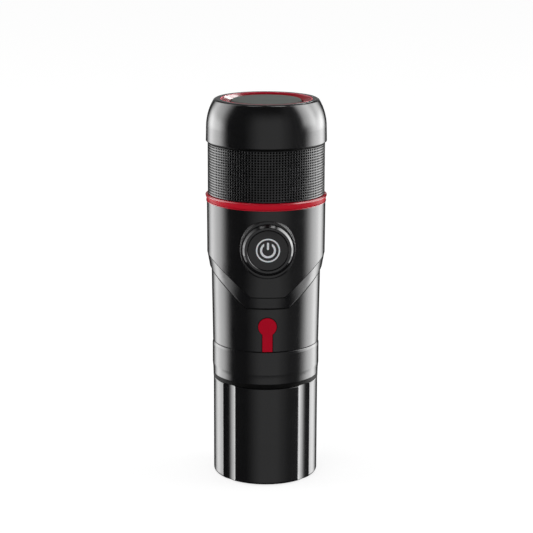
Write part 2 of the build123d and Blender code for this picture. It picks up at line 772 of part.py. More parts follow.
# Inner frame that carries the cells, the pump and the board
slot_back = jack_board_back - slip_clearance
column_face = sqrt(frame_radius ** 2 - (column_width / 2) ** 2)
with BuildPart() as inner_frame:
    tube(frame_window_radius, frame_radius, z_plate, z_cells)
    with BuildSketch(Plane.XY.offset(z_plate)) as port_slot:
        with Locations((0, -slot_back)):
            Rectangle(jack_board_width + 2 * slip_clearance, big, align=(Align.CENTER, Align.MAX))
    extrude(port_slot.sketch, amount=frame_plate, mode=Mode.SUBTRACT)
    tube(frame_top_window_radius, frame_radius, z_top_plate, z_deck)
    with BuildSketch(Plane.XZ.offset(board_back - slip_clearance)) as board_notch:
        with Locations((0, z_top_plate - overcut)):
            Rectangle(board_width + 2 * slip_clearance, big, align=(Align.CENTER, Align.MIN))
    extrude(board_notch.sketch, amount=board_thickness + 2 * slip_clearance, mode=Mode.SUBTRACT)
    for angle in column_angles:
        column_plane = Plane(origin=(0, 0, z_cells), x_dir=(cos(radians(angle)), sin(radians(angle)), 0))
        with BuildSketch(column_plane) as column:
            with Locations((column_face - column_depth / 2, 0)):
                Rectangle(column_depth, column_width)
        extrude(column.sketch, amount=z_top_plate - z_cells)
    with BuildSketch(Plane.XY.offset(z_bay)) as legs:
        with Locations(*[polar(base_screw_circle, angle) for angle in screw_angles]):
            Circle(frame_leg_radius)
    extrude(legs.sketch, amount=bay_height)
    with BuildSketch(Plane.XY.offset(z_bay)) as pilots:
        with Locations(*[polar(base_screw_circle, angle) for angle in screw_angles]):
            Circle(screw_radius)
    extrude(pilots.sketch, amount=screw_bite, mode=Mode.SUBTRACT)
    with BuildSketch(Plane.XY.offset(z_deck)) as deck_pilots:
        with Locations(*[polar(deck_screw_circle, angle) for angle in screw_angles]):
            Circle(screw_radius)
    extrude(deck_pilots.sketch, amount=-frame_top_plate, mode=Mode.SUBTRACT)
finish(inner_frame.part, "inner_frame")

for number, angle in enumerate(cell_angles, start=1):
    middle = polar(cell_circle, angle)
    with BuildPart(Plane(origin=(middle[0], middle[1], z_cells))) as cell:
        Cylinder(cell_radius, cell_length - cell_cap_height, align=(Align.CENTER, Align.CENTER, Align.MIN))
        with Locations((0, 0, cell_length - cell_cap_height)):
            Cylinder(cell_cap_radius, cell_cap_height, align=(Align.CENTER, Align.CENTER, Align.MIN))
    finish(cell.part, f"battery_cell_{number}")

# Pump head with its crank room, the motor on top and the crank shaft between them
z_crank_top = z_motor - motor_boss_height
z_crank_room = z_crank_top - crank_room_height
hose_port = z_crank_room - hose_port_drop
hose_angle = column_angles[0]
with BuildPart() as pump_head:
    tube(0, pump_radius, z_cells, z_motor)
    tube(0, stub_radius, z_heater_top + stub_length + inner_stub_gap, z_cells)
    tube(0, crank_room_radius, z_crank_room, z_crank_top, Mode.SUBTRACT)
    tube(0, motor_boss_radius + slip_clearance, z_crank_top - overcut, z_motor + overcut, Mode.SUBTRACT)
    tube(0, water_bore, z_heater_top, z_cells + hose_port_drop, Mode.SUBTRACT)
    port_radial = Plane(origin=(0, 0, hose_port), x_dir=(0, 0, 1), z_dir=(*polar(1, hose_angle), 0))
    with BuildSketch(port_radial.offset(pump_radius - overcut)) as side_port:
        Circle(hose_bore - slip_clearance)
    extrude(side_port.sketch, amount=overcut + side_port_length)
finish(pump_head.part, "pump_head")

with BuildPart() as pump_motor:
    tube(0, pump_radius, z_motor, z_motor_top)
    tube(0, motor_boss_radius, z_crank_top, z_motor)
    top_edge = pump_motor.edges().filter_by(GeomType.CIRCLE).sort_by(Axis.Z)[-1]
    fillet(top_edge, motor_edge_fillet)
    tube(0, shaft_radius + shaft_clearance, z_crank_top - overcut, z_motor + shaft_in_motor + rest_gap,
         Mode.SUBTRACT)
finish(pump_motor.part, "pump_motor")

with BuildPart() as crank_shaft:
    tube(0, shaft_radius, z_crank_room + crank_disc_height / 2, z_motor + shaft_in_motor)
    with BuildSketch(Plane.XY.offset(z_crank_room + crank_disc_height / 2)) as crank_disc:
        with Locations((crank_throw, 0)):
            Circle(crank_disc_radius)
    extrude(crank_disc.sketch, amount=crank_disc_height)
finish(crank_shaft.part, "crank_shaft")

# Water hoses: tank to pump down the gap between two cells, and pump to heater
hose_top = z_motor_top + hose_radius + hose_gap
hose_side = pump_radius + hose_offset
pump_face = pump_radius + slip_clearance
hose_dir = polar(1, hose_angle)
with BuildPart() as inlet_hose:
    with BuildLine() as hose_path:
        FilletPolyline(
            (0, 0, z_deck), (0, 0, hose_top), (hose_side * hose_dir[0], hose_side * hose_dir[1], hose_top),
            (hose_side * hose_dir[0], hose_side * hose_dir[1], hose_port),
            (pump_face * hose_dir[0], pump_face * hose_dir[1], hose_port),
            radius=min(hose_bend, hose_offset - hose_bend_room),
        )
    with BuildSketch(Plane(origin=hose_path.line @ 0, z_dir=hose_path.line % 0)):
        Circle(hose_radius)
        Circle(hose_bore, mode=Mode.SUBTRACT)
    sweep()
finish(inlet_hose.part, "inlet_hose")

with BuildPart() as outlet_hose:
    tube(stub_radius + shaft_clearance, stub_radius + outlet_hose_wall, z_heater_top, z_cells)
finish(outlet_hose.part, "outlet_hose")

# Deck that closes the main unit, and the red ring round it
socket_radius = upper_inner - slip_clearance - deck_lip - socket_wall
deck_wall = upper_inner - slip_clearance - deck_lip
with BuildPart() as tank_deck:
    turn([
        (0, z_deck), (upper_inner - slip_clearance, z_deck), (upper_inner - slip_clearance, z_ring),
        (deck_wall, z_ring), (deck_wall, z_ring_top), (socket_radius, z_ring_top), (socket_radius, z_socket),
        (inlet_radius, z_socket), (inlet_radius, z_socket + inlet_rise), (0, z_socket + inlet_rise),
    ])
    tube(0, hose_bore, z_deck - overcut, z_socket + inlet_rise + overcut, Mode.SUBTRACT)
    with BuildSketch(Plane.XY.offset(z_deck)) as deck_ways:
        with Locations(*[polar(deck_screw_circle, angle) for angle in screw_angles]):
            Circle(screw_radius + shaft_clearance)
    extrude(deck_ways.sketch, amount=deck_thickness, mode=Mode.SUBTRACT)
finish(tank_deck.part, "tank_deck")

with BuildPart() as deck_screws:
    for angle in screw_angles:
        with BuildSketch(Plane.XY.offset(z_socket)) as deck_head:
            with Locations(polar(deck_screw_circle, angle)):
                Circle(screw_head_radius)
        extrude(deck_head.sketch, amount=screw_head_height)
        with BuildSketch(Plane.XY.offset(z_deck - frame_top_plate)) as deck_shank:
            with Locations(polar(deck_screw_circle, angle)):
                Circle(screw_radius)
        extrude(deck_shank.sketch, amount=frame_top_plate + deck_thickness)
finish(deck_screws.part, "deck_screws")

with BuildPart() as accent_ring:
    turn([
        (deck_wall + shaft_clearance, z_ring), (ring_foot, z_ring),
        (ring_outer, z_ring_top - accent_ring_top_bevel), (ring_outer - accent_ring_top_bevel, z_ring_top),
        (deck_wall + shaft_clearance, z_ring_top),
    ])
finish(accent_ring.part, "accent_ring")

# Water tank: vessel with a spigot below and a threaded mouth above, in a grip band
tank_outer = band_outer - band_wall - shaft_clearance
tank_inner = tank_outer - tank_wall
tank_neck_outer = tank_outer - tank_neck_step
tank_neck_inner = tank_neck_outer - tank_wall
spigot_outer = socket_radius - socket_clearance
spigot_inner = spigot_outer - spigot_wall
valve_bore = inlet_radius + rest_gap
valve_outer = valve_bore + valve_wall
with BuildPart() as water_tank:
    turn([
        (valve_outer, z_tank_floor), (spigot_inner, z_tank_floor), (spigot_inner, z_seal_seat),
        (spigot_outer, z_seal_seat), (spigot_outer, z_tank_floor), (tank_outer, z_tank_floor),
        (tank_outer, z_band_top), (tank_neck_outer, z_band_top), (tank_neck_outer, z_tank_top),
        (tank_neck_inner, z_tank_top), (tank_neck_inner, z_shoulder), (tank_inner, z_shoulder),
        (tank_inner, z_tank_inside), (valve_outer, z_tank_inside),
    ])
finish(water_tank.part, "water_tank")

with BuildPart() as tank_grip_band:
    tube(band_outer - band_wall, band_outer, z_tank, z_band_top)
finish(tank_grip_band.part, "tank_grip_band")

with BuildPart() as tank_seal:
    tube(spigot_inner, spigot_outer, z_spigot, z_seal_seat)
finish(tank_seal.part, "tank_seal")

with BuildPart() as tank_valve:
    turn([
        (valve_bore, z_socket + inlet_rise / 2), (valve_outer, z_socket + inlet_rise / 2),
        (valve_outer, z_tank_inside), (valve_flange_radius, z_tank_inside),
        (valve_flange_radius, z_tank_inside + valve_flange_height), (0, z_tank_inside + valve_flange_height),
        (0, z_tank_inside - tank_floor / 2), (valve_bore, z_tank_inside - tank_floor / 2),
    ])
finish(tank_valve.part, "tank_valve")

# Lid: a domed shell with a red ring and a plain disc let into its top
crown_radius = lid_outer - lid_straight_draw - lid_shoulder_draw
lid_skin = z_top - lid_crown_drop
pocket_floor = z_top - lid_ring_proud - lid_ring_height
lid_pocket_radius = lid_ring_radius + shaft_clearance
lid_bore = lid_outer - lid_wall
lid_ceiling = pocket_floor - lid_top_wall
with BuildPart() as lid_shell:
    with BuildSketch(Plane.XZ) as lid_outline:
        with BuildLine():
            Line((lid_outer, z_lid), (lid_outer - lid_straight_draw, z_lid + lid_straight_height))
            TangentArc(
                (lid_outer - lid_straight_draw, z_lid + lid_straight_height), (crown_radius, lid_skin),
                tangent=(-lid_straight_draw, lid_straight_height),
            )
            Polyline(
                (crown_radius, lid_skin), (crown_radius - lid_top_edge, z_top), (lid_pocket_radius, z_top),
                (lid_pocket_radius, pocket_floor), (0, pocket_floor), (0, lid_ceiling),
                (lid_bore - lid_inner_draw, lid_ceiling), (lid_bore, z_lid + lid_straight_height),
                (lid_bore, z_lid), (lid_outer, z_lid),
            )
        make_face()
    revolve(lid_outline.sketch, axis=Axis.Z)
finish(lid_shell.part, "lid_shell")

lid_ring_inner = lid_ring_radius - lid_ring_width
lid_ring_top = pocket_floor + lid_ring_height
with BuildPart() as lid_accent_ring:
    turn([
        (lid_ring_inner, pocket_floor), (lid_ring_radius, pocket_floor), (lid_ring_radius, lid_ring_top),
        (lid_ring_radius - lid_ring_rim, lid_ring_top), (lid_ring_inner, lid_ring_top - lid_ring_dish),
    ])
    fillet(lid_accent_ring.edges().filter_by(GeomType.CIRCLE).group_by(Axis.Z)[-1], lid_ring_fillet)
finish(lid_accent_ring.part, "lid_accent_ring")

with BuildPart() as lid_disc:
    tube(0, lid_disc_radius, pocket_floor, pocket_floor + lid_disc_height)
    chamfer(lid_disc.edges().filter_by(GeomType.CIRCLE).sort_by(Axis.Z)[-1], lid_disc_bevel)
finish(lid_disc.part, "lid_disc")

# Threaded liner inside the lid, with its gasket and vent plug
liner_inner = tank_neck_outer + rest_gap
liner_outer = liner_inner + liner_wall
liner_rim = lid_bore - slip_clearance
z_liner = z_lid + liner_skirt
z_liner_rim = z_liner + liner_rim_height
upper_room = tank_neck_outer - gasket_ring_width
upper_outside = upper_room + liner_wall
z_liner_shoulder = z_liner_step + liner_shoulder
z_liner_lid = z_liner_top + liner_top
with BuildPart() as lid_liner:
    turn([
        (liner_inner, z_liner), (liner_rim, z_liner), (liner_rim, z_liner_rim), (liner_outer, z_liner_rim),
        (liner_outer, z_liner_shoulder), (upper_outside, z_liner_shoulder), (upper_outside, z_liner_lid),
        (vent_radius, z_liner_lid), (vent_radius, z_liner_top), (upper_room, z_liner_top),
        (upper_room, z_liner_step), (liner_inner, z_liner_step),
    ])
finish(lid_liner.part, "lid_liner")

with BuildPart() as lid_gasket:
    tube(upper_room, liner_inner, z_gasket, z_liner_step)
finish(lid_gasket.part, "lid_gasket")

with BuildPart() as vent_plug:
    turn([
        (0, z_liner_top - vent_head_height), (vent_head_radius, z_liner_top - vent_head_height),
        (vent_head_radius, z_liner_top), (vent_radius, z_liner_top), (vent_radius, z_liner_lid),
        (0, z_liner_lid),
    ])
finish(vent_plug.part, "vent_plug")

print("height", round(z_top, 2), "widest radius", round(ring_outer, 2))
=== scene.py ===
"""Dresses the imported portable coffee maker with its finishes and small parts, in a plain studio."""

import logging
import math
from dataclasses import dataclass, field
from enum import Enum
from functools import cache
from typing import Any, Callable, Mapping, Sequence

import bmesh
import bpy
from bpy.types import Material, Mesh, Node, NodeSocket, NodeTree, Object
from mathutils import Matrix, Vector


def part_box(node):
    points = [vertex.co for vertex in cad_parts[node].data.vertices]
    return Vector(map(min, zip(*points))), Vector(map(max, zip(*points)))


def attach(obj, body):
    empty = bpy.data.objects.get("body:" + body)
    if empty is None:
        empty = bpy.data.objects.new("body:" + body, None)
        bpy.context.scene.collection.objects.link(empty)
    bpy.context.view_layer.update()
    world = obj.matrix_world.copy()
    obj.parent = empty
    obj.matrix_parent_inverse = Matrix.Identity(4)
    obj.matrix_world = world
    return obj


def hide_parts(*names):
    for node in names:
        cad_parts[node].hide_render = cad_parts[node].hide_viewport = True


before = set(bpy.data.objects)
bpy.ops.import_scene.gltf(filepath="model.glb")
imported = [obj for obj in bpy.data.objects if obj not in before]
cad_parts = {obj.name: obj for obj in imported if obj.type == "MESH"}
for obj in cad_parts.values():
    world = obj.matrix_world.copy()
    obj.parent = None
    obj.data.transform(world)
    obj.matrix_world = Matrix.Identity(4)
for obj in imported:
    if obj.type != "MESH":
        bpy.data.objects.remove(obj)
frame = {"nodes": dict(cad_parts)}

MM = 0.001
PHOTO_PIXELS = 533
SENSOR_MM = 36.0
MIDDLE_HEIGHT = 0.11
WHITE = "#ffffff"
MATH = "ShaderNodeMath"
# Metres below which corners are merged and edges dropped.
WELD = 1e-7
SLIVER = 1e-8
log = logging.getLogger("coffee_maker")

Outline = Sequence[tuple[float, float]]
Inputs = Mapping[Any, Any]
Span = tuple[float, float]


class Body(Enum):
    """CAD bodies that pieces of the scene ride on."""

    MAIN_UNIT = "main_unit"
    WATER_TANK = "water_tank"
    LID = "lid"


class Slot(Enum):
    """Material slots of the record."""

    BLACK_GLOSS = "black_gloss"
    BLACK_MATTE = "black_matte"
    BLACK_RUBBER = "black_rubber"
    RED_GLOSS = "red_gloss"
    RED_RUBBER = "red_rubber"
    DARK_GREY = "dark_grey"
    SILICONE = "silicone"
    STEEL = "steel"
    ALUMINIUM = "aluminium"
    BOARD_GREEN = "board_green"
    CELL_SLEEVE = "cell_sleeve"
    SMOKE_CLEAR = "smoke_clear"
    WHITE_LIGHT = "white_light"


def srgb(code: str) -> tuple[float, float, float, float]:
    """Turns an sRGB hex code into a linear colour.

    Args:
        code: Six hex digits with a leading hash.

    Returns:
        Linear red, green, blue and an alpha of one.
    """
    shares = [int(code[i:i + 2], 16) / 255 for i in (1, 3, 5)]
    red, green, blue = [s / 12.92 if s <= 0.04045 else ((s + 0.055) / 1.055) ** 2.4 for s in shares]
    return red, green, blue, 1.0


def per_metre(size_mm: float) -> float:
    """Pattern scale that repeats once in so many millimetres."""
    return 1.0 / (size_mm * MM)


@dataclass
class Nodes:
    """A node tree, of a material, of the world or of Geometry Nodes, and the one way in which it gets a node."""

    tree: NodeTree

    def add(self, kind: str, inputs: Inputs | None = None, **settings: Any) -> Node:
        """Adds one node with its settings and whatever feeds its inputs.

        Args:
            kind: Blender's name of the node type.
            inputs: Input name or number, with a value, an output socket, or a node for its first output in use.
            **settings: Attributes of the node itself.

        Returns:
            The new node.
        """
        node = self.tree.nodes.new(kind)
        for name, value in settings.items():
            setattr(node, name, value)
        for key, value in (inputs or {}).items():
            if isinstance(value, Node):
                value = next(output for output in value.outputs if output.enabled)
            if isinstance(value, NodeSocket):
                self.tree.links.new(value, node.inputs[key])
            else:
                node.inputs[key].default_value = value
        return node


@dataclass(frozen=True)
class Finish:
    """Finish of a real material, with its colour and the one that it takes where it is worn or uneven."""

    name: str
    colour: str
    second: str

    def material(self) -> Material:
        """Builds the material, in each kind of finish in its own way."""
        raise NotImplementedError(self.name)


@cache
def paint(finish: Finish) -> Material:
    """Material of a finish, built once, when it is first asked for."""
    return finish.material()


class Surface(Nodes):
    """Material in the making, with the patterns that several finishes share."""

    # Noise values that blotches and scratches run between, and the turn of the scratches in radians.
    NOISE_BAND: Span = (0.3, 0.7)
    SCRATCH_BAND: Span = (0.72, 0.8)
    SCRATCH_TILT = (0.25, 0.15, 0.0)

    def __init__(self, name: str, edge_mm: float = 0.0, samples: int = 4) -> None:
        """Starts an empty material, its coordinates and its rounded edges.

        Args:
            name: Name of the material.
            edge_mm: Radius to which the light rounds each edge, or zero for none.
            samples: Samples of that rounding.
        """
        self.material = bpy.data.materials.new(name)
        self.material.use_nodes = True
        super().__init__(self.material.node_tree)
        self.tree.nodes.clear()
        self.place = self.add("ShaderNodeTexCoord").outputs["Object"]
        self.normal: dict[Any, Node] = {}
        if edge_mm:
            self.normal["Normal"] = self.add("ShaderNodeBevel", {"Radius": edge_mm * MM}, samples=samples)

    def blotches(self, size_mm: float, low: float, high: float, detail: float = 3.0) -> Node:
        """Soft uneven patches, as where hands and wear have been.

        Args:
            size_mm: Size of one patch.
            low: Value in the troughs.
            high: Value on the crests.
            detail: Octaves of the noise.

        Returns:
            Node with the value at each point.
        """
        noise = self.add("ShaderNodeTexNoise", {"Vector": self.place, "Scale": per_metre(size_mm), "Detail": detail})
        return self.add("ShaderNodeMapRange", {
            "Value": noise, "From Min": self.NOISE_BAND[0], "From Max": self.NOISE_BAND[1], "To Min": low,
            "To Max": high})

    def hairlines(self, width_mm: float, length_mm: float, share: float) -> Node:
        """Fine scratches that run round the body, as from wiping and from a bag.

        Args:
            width_mm: Width of a scratch, drawn wide enough to show.
            length_mm: Length of a scratch.
            share: Share of the surface that is scratched.

        Returns:
            Node that gives one on a scratch and zero beside it.
        """
        scales = (per_metre(length_mm), per_metre(length_mm), per_metre(width_mm))
        stretch = self.add("ShaderNodeMapping", {
            "Vector": self.place, "Rotation": self.SCRATCH_TILT, "Scale": scales})
        noise = self.add("ShaderNodeTexNoise", {"Vector": stretch, "Scale": 1.0, "Detail": 1.0})
        start, full = (value - share for value in self.SCRATCH_BAND)
        return self.add("ShaderNodeMapRange", {"Value": noise, "From Min": start, "From Max": full})

    def worn_edges(self, size_mm: float, low: float, high: float, reach: float = 0.3) -> Node:
        """Mask of the rounded edges, where wear shows first, broken up into patches.

        Args:
            size_mm: Size of one patch.
            low: Wear in the troughs between patches.
            high: Wear on their crests.
            reach: How far the normal has to turn for full wear.

        Returns:
            Node that gives the wear, which is zero on a face.
        """
        flat = self.add("ShaderNodeNewGeometry").outputs["Normal"]
        match = self.add("ShaderNodeVectorMath", {0: self.normal["Normal"], 1: flat}, operation="DOT_PRODUCT")
        edges = self.add("ShaderNodeMapRange", {"Value": match, "From Min": 1.0, "From Max": 1.0 - reach})
        return self.add(MATH, {0: edges, 1: self.blotches(size_mm, low, high)}, operation="MULTIPLY")

    def close(self, finish: Finish, shares: Sequence[Node], height: Node, depth_mm: float,
              inputs: Inputs) -> Material:
        """Ends the tree in one Principled shader, with a relief over the rounded edges.

        Args:
            finish: Finish that gives the two colours.
            shares: Shares of its second colour, laid on one after another.
            height: Height of the relief, from zero to one.
            depth_mm: Depth of the relief.
            inputs: Other values and sockets of the shader.

        Returns:
            The finished material.
        """
        colour: Any = srgb(finish.colour)
        for share in shares:
            colour = self.add("ShaderNodeMix", {0: share, 6: colour, 7: srgb(finish.second)}, data_type="RGBA")
        bump = self.add("ShaderNodeBump", {"Height": height, "Distance": depth_mm * MM, **self.normal})
        shader = self.add("ShaderNodeBsdfPrincipled", {"Base Color": colour, "Normal": bump, **inputs})
        self.add("ShaderNodeOutputMaterial", {"Surface": shader})
        return self.material


@dataclass(frozen=True)
class MouldedPlastic(Finish):
    """Injection moulded plastic: smooth, with a faint ripple from the mould and a slightly worn edge."""

    roughness: float
    edge_mm: float = 0.6
    specular: float = 0.5
    coat: float = 0.0
    ripple_mm: float = 2.2
    ripple_depth_mm: float = 0.004
    scratch_roughness: float = 0.05
    wear_roughness: float = 0.12

    def material(self) -> Material:
        """Builds the material.

        Returns:
            A satin or glossy plastic.
        """
        surface = Surface(self.name, self.edge_mm, samples=8)
        worn = surface.worn_edges(size_mm=3.0, low=0.0, high=0.5)
        rough = surface.blotches(14.0, self.roughness - 0.03, self.roughness + 0.04)
        for mask, rougher in ((surface.hairlines(width_mm=0.5, length_mm=22.0, share=0.05), self.scratch_roughness),
                              (worn, self.wear_roughness)):
            rough = surface.add(MATH, {0: mask, 1: rougher, 2: rough}, operation="MULTIPLY_ADD")
        tone, ripple = surface.blotches(0.7, 0.0, 0.08, detail=1.0), surface.blotches(self.ripple_mm, 0.0, 1.0)
        return surface.close(self, (tone, worn), ripple, self.ripple_depth_mm, {
            "Roughness": rough, "IOR": 1.5, "Specular IOR Level": self.specular, "Coat Weight": self.coat,
            "Coat Roughness": 0.08})


@dataclass(frozen=True)
class SparkedPlastic(Finish):
    """Moulded plastic from a spark eroded mould: an even dull grain, as on inner and gripped parts."""

    roughness: float
    specular: float = 0.5
    grain_mm: float = 0.6
    grain_depth_mm: float = 0.03
    edge_mm: float = 0.2
    wear_roughness: float = -0.1

    def material(self) -> Material:
        """Builds the material.

        Returns:
            A dull grained plastic.
        """
        surface = Surface(self.name, self.edge_mm)
        worn = surface.worn_edges(size_mm=2.5, low=0.1, high=0.6)
        dull = surface.blotches(6.0, self.roughness - 0.05, self.roughness + 0.06)
        rough = surface.add(MATH, {0: worn, 1: self.wear_roughness, 2: dull}, operation="MULTIPLY_ADD")
        tone, grain = surface.blotches(9.0, 0.0, 0.3), surface.blotches(self.grain_mm, 0.0, 1.0, detail=2.0)
        return surface.close(self, (tone, worn), grain, self.grain_depth_mm, {
            "Roughness": rough, "IOR": 1.5, "Specular IOR Level": self.specular})


@dataclass(frozen=True)
class MouldedRubber(Finish):
    """Silicone or soft rubber from a mould: dull, slightly waxy, with dust in its grain."""

    roughness: float
    specular: float = 0.4
    sheen: float = 0.02
    softness: float = 0.0
    grain_mm: float = 0.8
    grain_depth_mm: float = 0.02
    edge_mm: float = 0.35

    def material(self) -> Material:
        """Builds the material.

        Returns:
            A soft dull rubber.
        """
        surface = Surface(self.name, self.edge_mm)
        dust = surface.add(MATH, {0: surface.blotches(5.0, 0.0, 0.5), 1: surface.blotches(0.9, 0.3, 1.0)},
                           operation="MULTIPLY")
        grain = surface.blotches(self.grain_mm, 0.0, 1.0, detail=2.0)
        return surface.close(self, [dust], grain, self.grain_depth_mm, {
            "Roughness": surface.blotches(4.0, self.roughness - 0.05, self.roughness + 0.05), "IOR": 1.43,
            "Specular IOR Level": self.specular, "Sheen Weight": self.sheen, "Sheen Roughness": 0.4,
            "Subsurface Weight": self.softness, "Subsurface Scale": 0.6 * MM})


class Lay(Enum):
    """Direction of the marks that a tool leaves on metal."""

    TURNED = "rings round the axis"
    ROLLED = "straight lines"
    CAST = "no direction"


@dataclass(frozen=True)
class WorkedMetal(Finish):
    """Bare metal with the marks of the tool that made it."""

    roughness: float
    lay: Lay
    mark_mm: float
    mark_depth_mm: float = 0.01
    mark_roughness: float = 0.12
    edge_mm: float = 0.15

    def material(self) -> Material:
        """Builds the material.

        Returns:
            A metal whose gloss follows its tool marks.
        """
        surface = Surface(self.name, self.edge_mm)
        marks = self.marks(surface)
        dull = surface.blotches(5.0, self.roughness - 0.04, self.roughness + 0.08)
        rough = surface.add(MATH, {0: marks, 1: self.mark_roughness, 2: dull}, operation="MULTIPLY_ADD")
        return surface.close(self, [surface.blotches(7.0, 0.0, 0.5)], marks, self.mark_depth_mm, {
            "Metallic": 1.0, "Roughness": rough})

    def marks(self, surface: Surface) -> Node:
        """Height of the tool marks.

        Args:
            surface: Material that gets the pattern.

        Returns:
            Node that gives the height, from zero to one.
        """
        if self.lay is Lay.CAST:
            return surface.blotches(self.mark_mm, 0.0, 1.0)
        axes = surface.add("ShaderNodeSeparateXYZ", {"Vector": surface.place}).outputs
        across = axes["X"]
        if self.lay is Lay.TURNED:
            plan = surface.add("ShaderNodeCombineXYZ", {0: axes["X"], 1: axes["Y"], 2: 0.0})
            radius = surface.add("ShaderNodeVectorMath", {0: plan}, operation="LENGTH")
            across = surface.add(MATH, {0: radius, 1: axes["Z"]}, operation="ADD")
        return surface.add("ShaderNodeTexNoise", {"W": across, "Scale": per_metre(self.mark_mm), "Detail": 2.0},
                           noise_dimensions="1D")


class Relief(Enum):
    """What stands out a little on a clear, milky or lacquered surface."""

    RIPPLES = "soft ripples from blowing or moulding"
    PUCKERS = "creases of a shrunk film"
    TRACKS = "square copper tracks"


@dataclass(frozen=True)
class GlossySkin(Finish):
    """Clear, milky or lacquered plastic over a low relief, which has the second colour where there is no tone."""

    relief: Relief
    relief_mm: float
    relief_depth_mm: float
    gloss_mm: float
    gloss: Span
    ior: float
    tone_mm: float = 0.0
    tone_share: float = 0.0
    edge_mm: float = 0.1
    clear: float = 0.0
    milky: float = 0.0

    def material(self) -> Material:
        """Builds the material.

        Returns:
            A smooth plastic skin, which may let light through.
        """
        surface = Surface(self.name, self.edge_mm)
        height = self.height(surface)
        share = surface.blotches(self.tone_mm, 0.0, self.tone_share) if self.tone_mm else height
        return surface.close(self, [share], height, self.relief_depth_mm, {
            "Roughness": surface.blotches(self.gloss_mm, *self.gloss), "IOR": self.ior,
            "Transmission Weight": self.clear, "Subsurface Weight": self.milky, "Subsurface Scale": 0.3 * MM})

    def height(self, surface: Surface) -> Node:
        """Height of the relief.

        Args:
            surface: Material that gets the pattern.

        Returns:
            Node that gives the height, from zero to one.
        """
        if self.relief is Relief.RIPPLES:
            return surface.blotches(self.relief_mm, 0.0, 1.0)
        if self.relief is Relief.PUCKERS:
            return surface.hairlines(self.relief_mm, length_mm=9.0, share=0.2)
        cells = surface.add("ShaderNodeTexVoronoi",
                            {"Vector": surface.place, "Scale": per_metre(self.relief_mm), "Randomness": 0.8},
                            distance="CHEBYCHEV", feature="DISTANCE_TO_EDGE")
        return surface.add("ShaderNodeMapRange", {
            "Value": cells, "From Min": 0.10, "From Max": 0.14, "To Min": 1.0, "To Max": 0.0})


# ABS, polished mould, black: deep gloss with soft edged reflections, which carries most of the photo.
BODY_BLACK = MouldedPlastic("abs_black_polished", "#0a0a0b", "#2c2c2e", 0.15, edge_mm=0.7)
# The same ABS on the button, a touch duller, with a finer line of light along its edge.
BUTTON_BLACK = MouldedPlastic("abs_black_button", "#0a0a0b", "#29292b", 0.17, edge_mm=0.3)
# Lacquered ABS of the bezel: a clear coat over black, whose bevel throws back the side light as a crescent.
BEZEL_BLACK = MouldedPlastic("abs_black_lacquered", "#09090a", "#2a2a2c", 0.13, edge_mm=0.35, coat=0.25)
# Red ABS, satin: foot and crest of the ring round the tower, which catch the side light as fine lines.
RING_RED = MouldedPlastic("abs_red_satin", "#a20a1e", "#b02434", 0.15, edge_mm=0.3)
# The ring's face is duller than its two edges, so that it stays a full red beside them.
RING_FACE_RED = MouldedPlastic("abs_red_blasted", "#aa0c20", "#b01c30", 0.32, edge_mm=0.1, specular=0.06)
# A deeper red on the lid, polished: dark in its dish, with thin lights on its edges.
DISH_RED = MouldedPlastic("abs_red_polished", "#7d0414", "#8f1424", 0.15, edge_mm=0.25, specular=0.06)
# Crown of that ring's rim, red painted a paler pink as a highlight, which reads as a fine pink line.
BEAD_RED = MouldedPlastic("abs_red_rubbed", "#c0304a", "#c85468", 0.25, edge_mm=0.1)
# Graphite ABS of the lid's disc, fine satin: an even grey from all sides, with hardly any shine.
DISC_GREY = MouldedPlastic("abs_graphite_satin", "#565a57", "#666a68", 0.42, edge_mm=0.3, specular=0.01)
# Glass filled nylon of inner parts: dull, with a visible even grain.
INNER_BLACK = SparkedPlastic("nylon_black_sparked", "#1a1a1b", "#333335", 0.52)
# Rubbery coat of the grip, rubbed smooth on its ribs, which catch the light.
GRIP_BLACK = SparkedPlastic("tpe_black_rubbed", "#0e0e0f", "#2c2c2e", 0.22, grain_mm=0.5, grain_depth_mm=0.01)
# The same coat at the bottom of the pits, duller, in a near black that paints the shade in the pits, so that they
# read as holes.
PIT_BLACK = SparkedPlastic("tpe_black_raw", "#020202", "#060606", 0.6, specular=0.1, grain_mm=0.5)
# Seal and foot pad: black rubber with a little grey dust. The same dull black paints the shade lines round the
# housing.
SEAL_BLACK = MouldedRubber("nitrile_rubber_black", "#040404", "#141413", 0.5, specular=0.06, sheen=0.0)
# Port flap: red silicone, an even colour to the eye, with hardly any shine.
FLAP_RED = MouldedRubber("silicone_red_moulded", "#96001a", "#9c0820", 0.5, specular=0.06, sheen=0.0)
# Gaskets and hoses: milky silicone, which lets a little light in.
MILKY_SILICONE = MouldedRubber("silicone_milky_moulded", "#c9c8c3", "#b3b1aa", 0.45, softness=0.3)
# Screens and the motor can: stainless steel with rolled lines.
STAINLESS = WorkedMetal("stainless_rolled", "#c9c8c5", "#a7a5a1", 0.24, Lay.ROLLED, 0.5)
# Screw heads: plated steel, slightly pitted.
SCREW_STEEL = WorkedMetal("steel_headed", "#b9b8b6", "#8f8d8a", 0.3, Lay.CAST, 0.4)
# Boiler: die cast aluminium, grey and slightly sandy.
CAST_ALUMINIUM = WorkedMetal("aluminium_cast", "#c4c5c7", "#9b9c9e", 0.42, Lay.CAST, 0.7, 0.03)
# Contacts of the power socket: nickel plated brass, turned.
CONTACT_NICKEL = WorkedMetal("brass_nickel_turned", "#cbbf9f", "#a89868", 0.25, Lay.TURNED, 0.4)
# Water tank and its thread: grey see-through plastic, so that the water level can be read.
SMOKED_TANK = GlossySkin("copolyester_smoked", "#6f7478", "#8d9296", Relief.RIPPLES, 6.0, 0.02, tone_mm=11.0,
                         tone_share=0.4, gloss_mm=4.0, gloss=(0.05, 0.14), ior=1.57, edge_mm=0.0, clear=0.9)
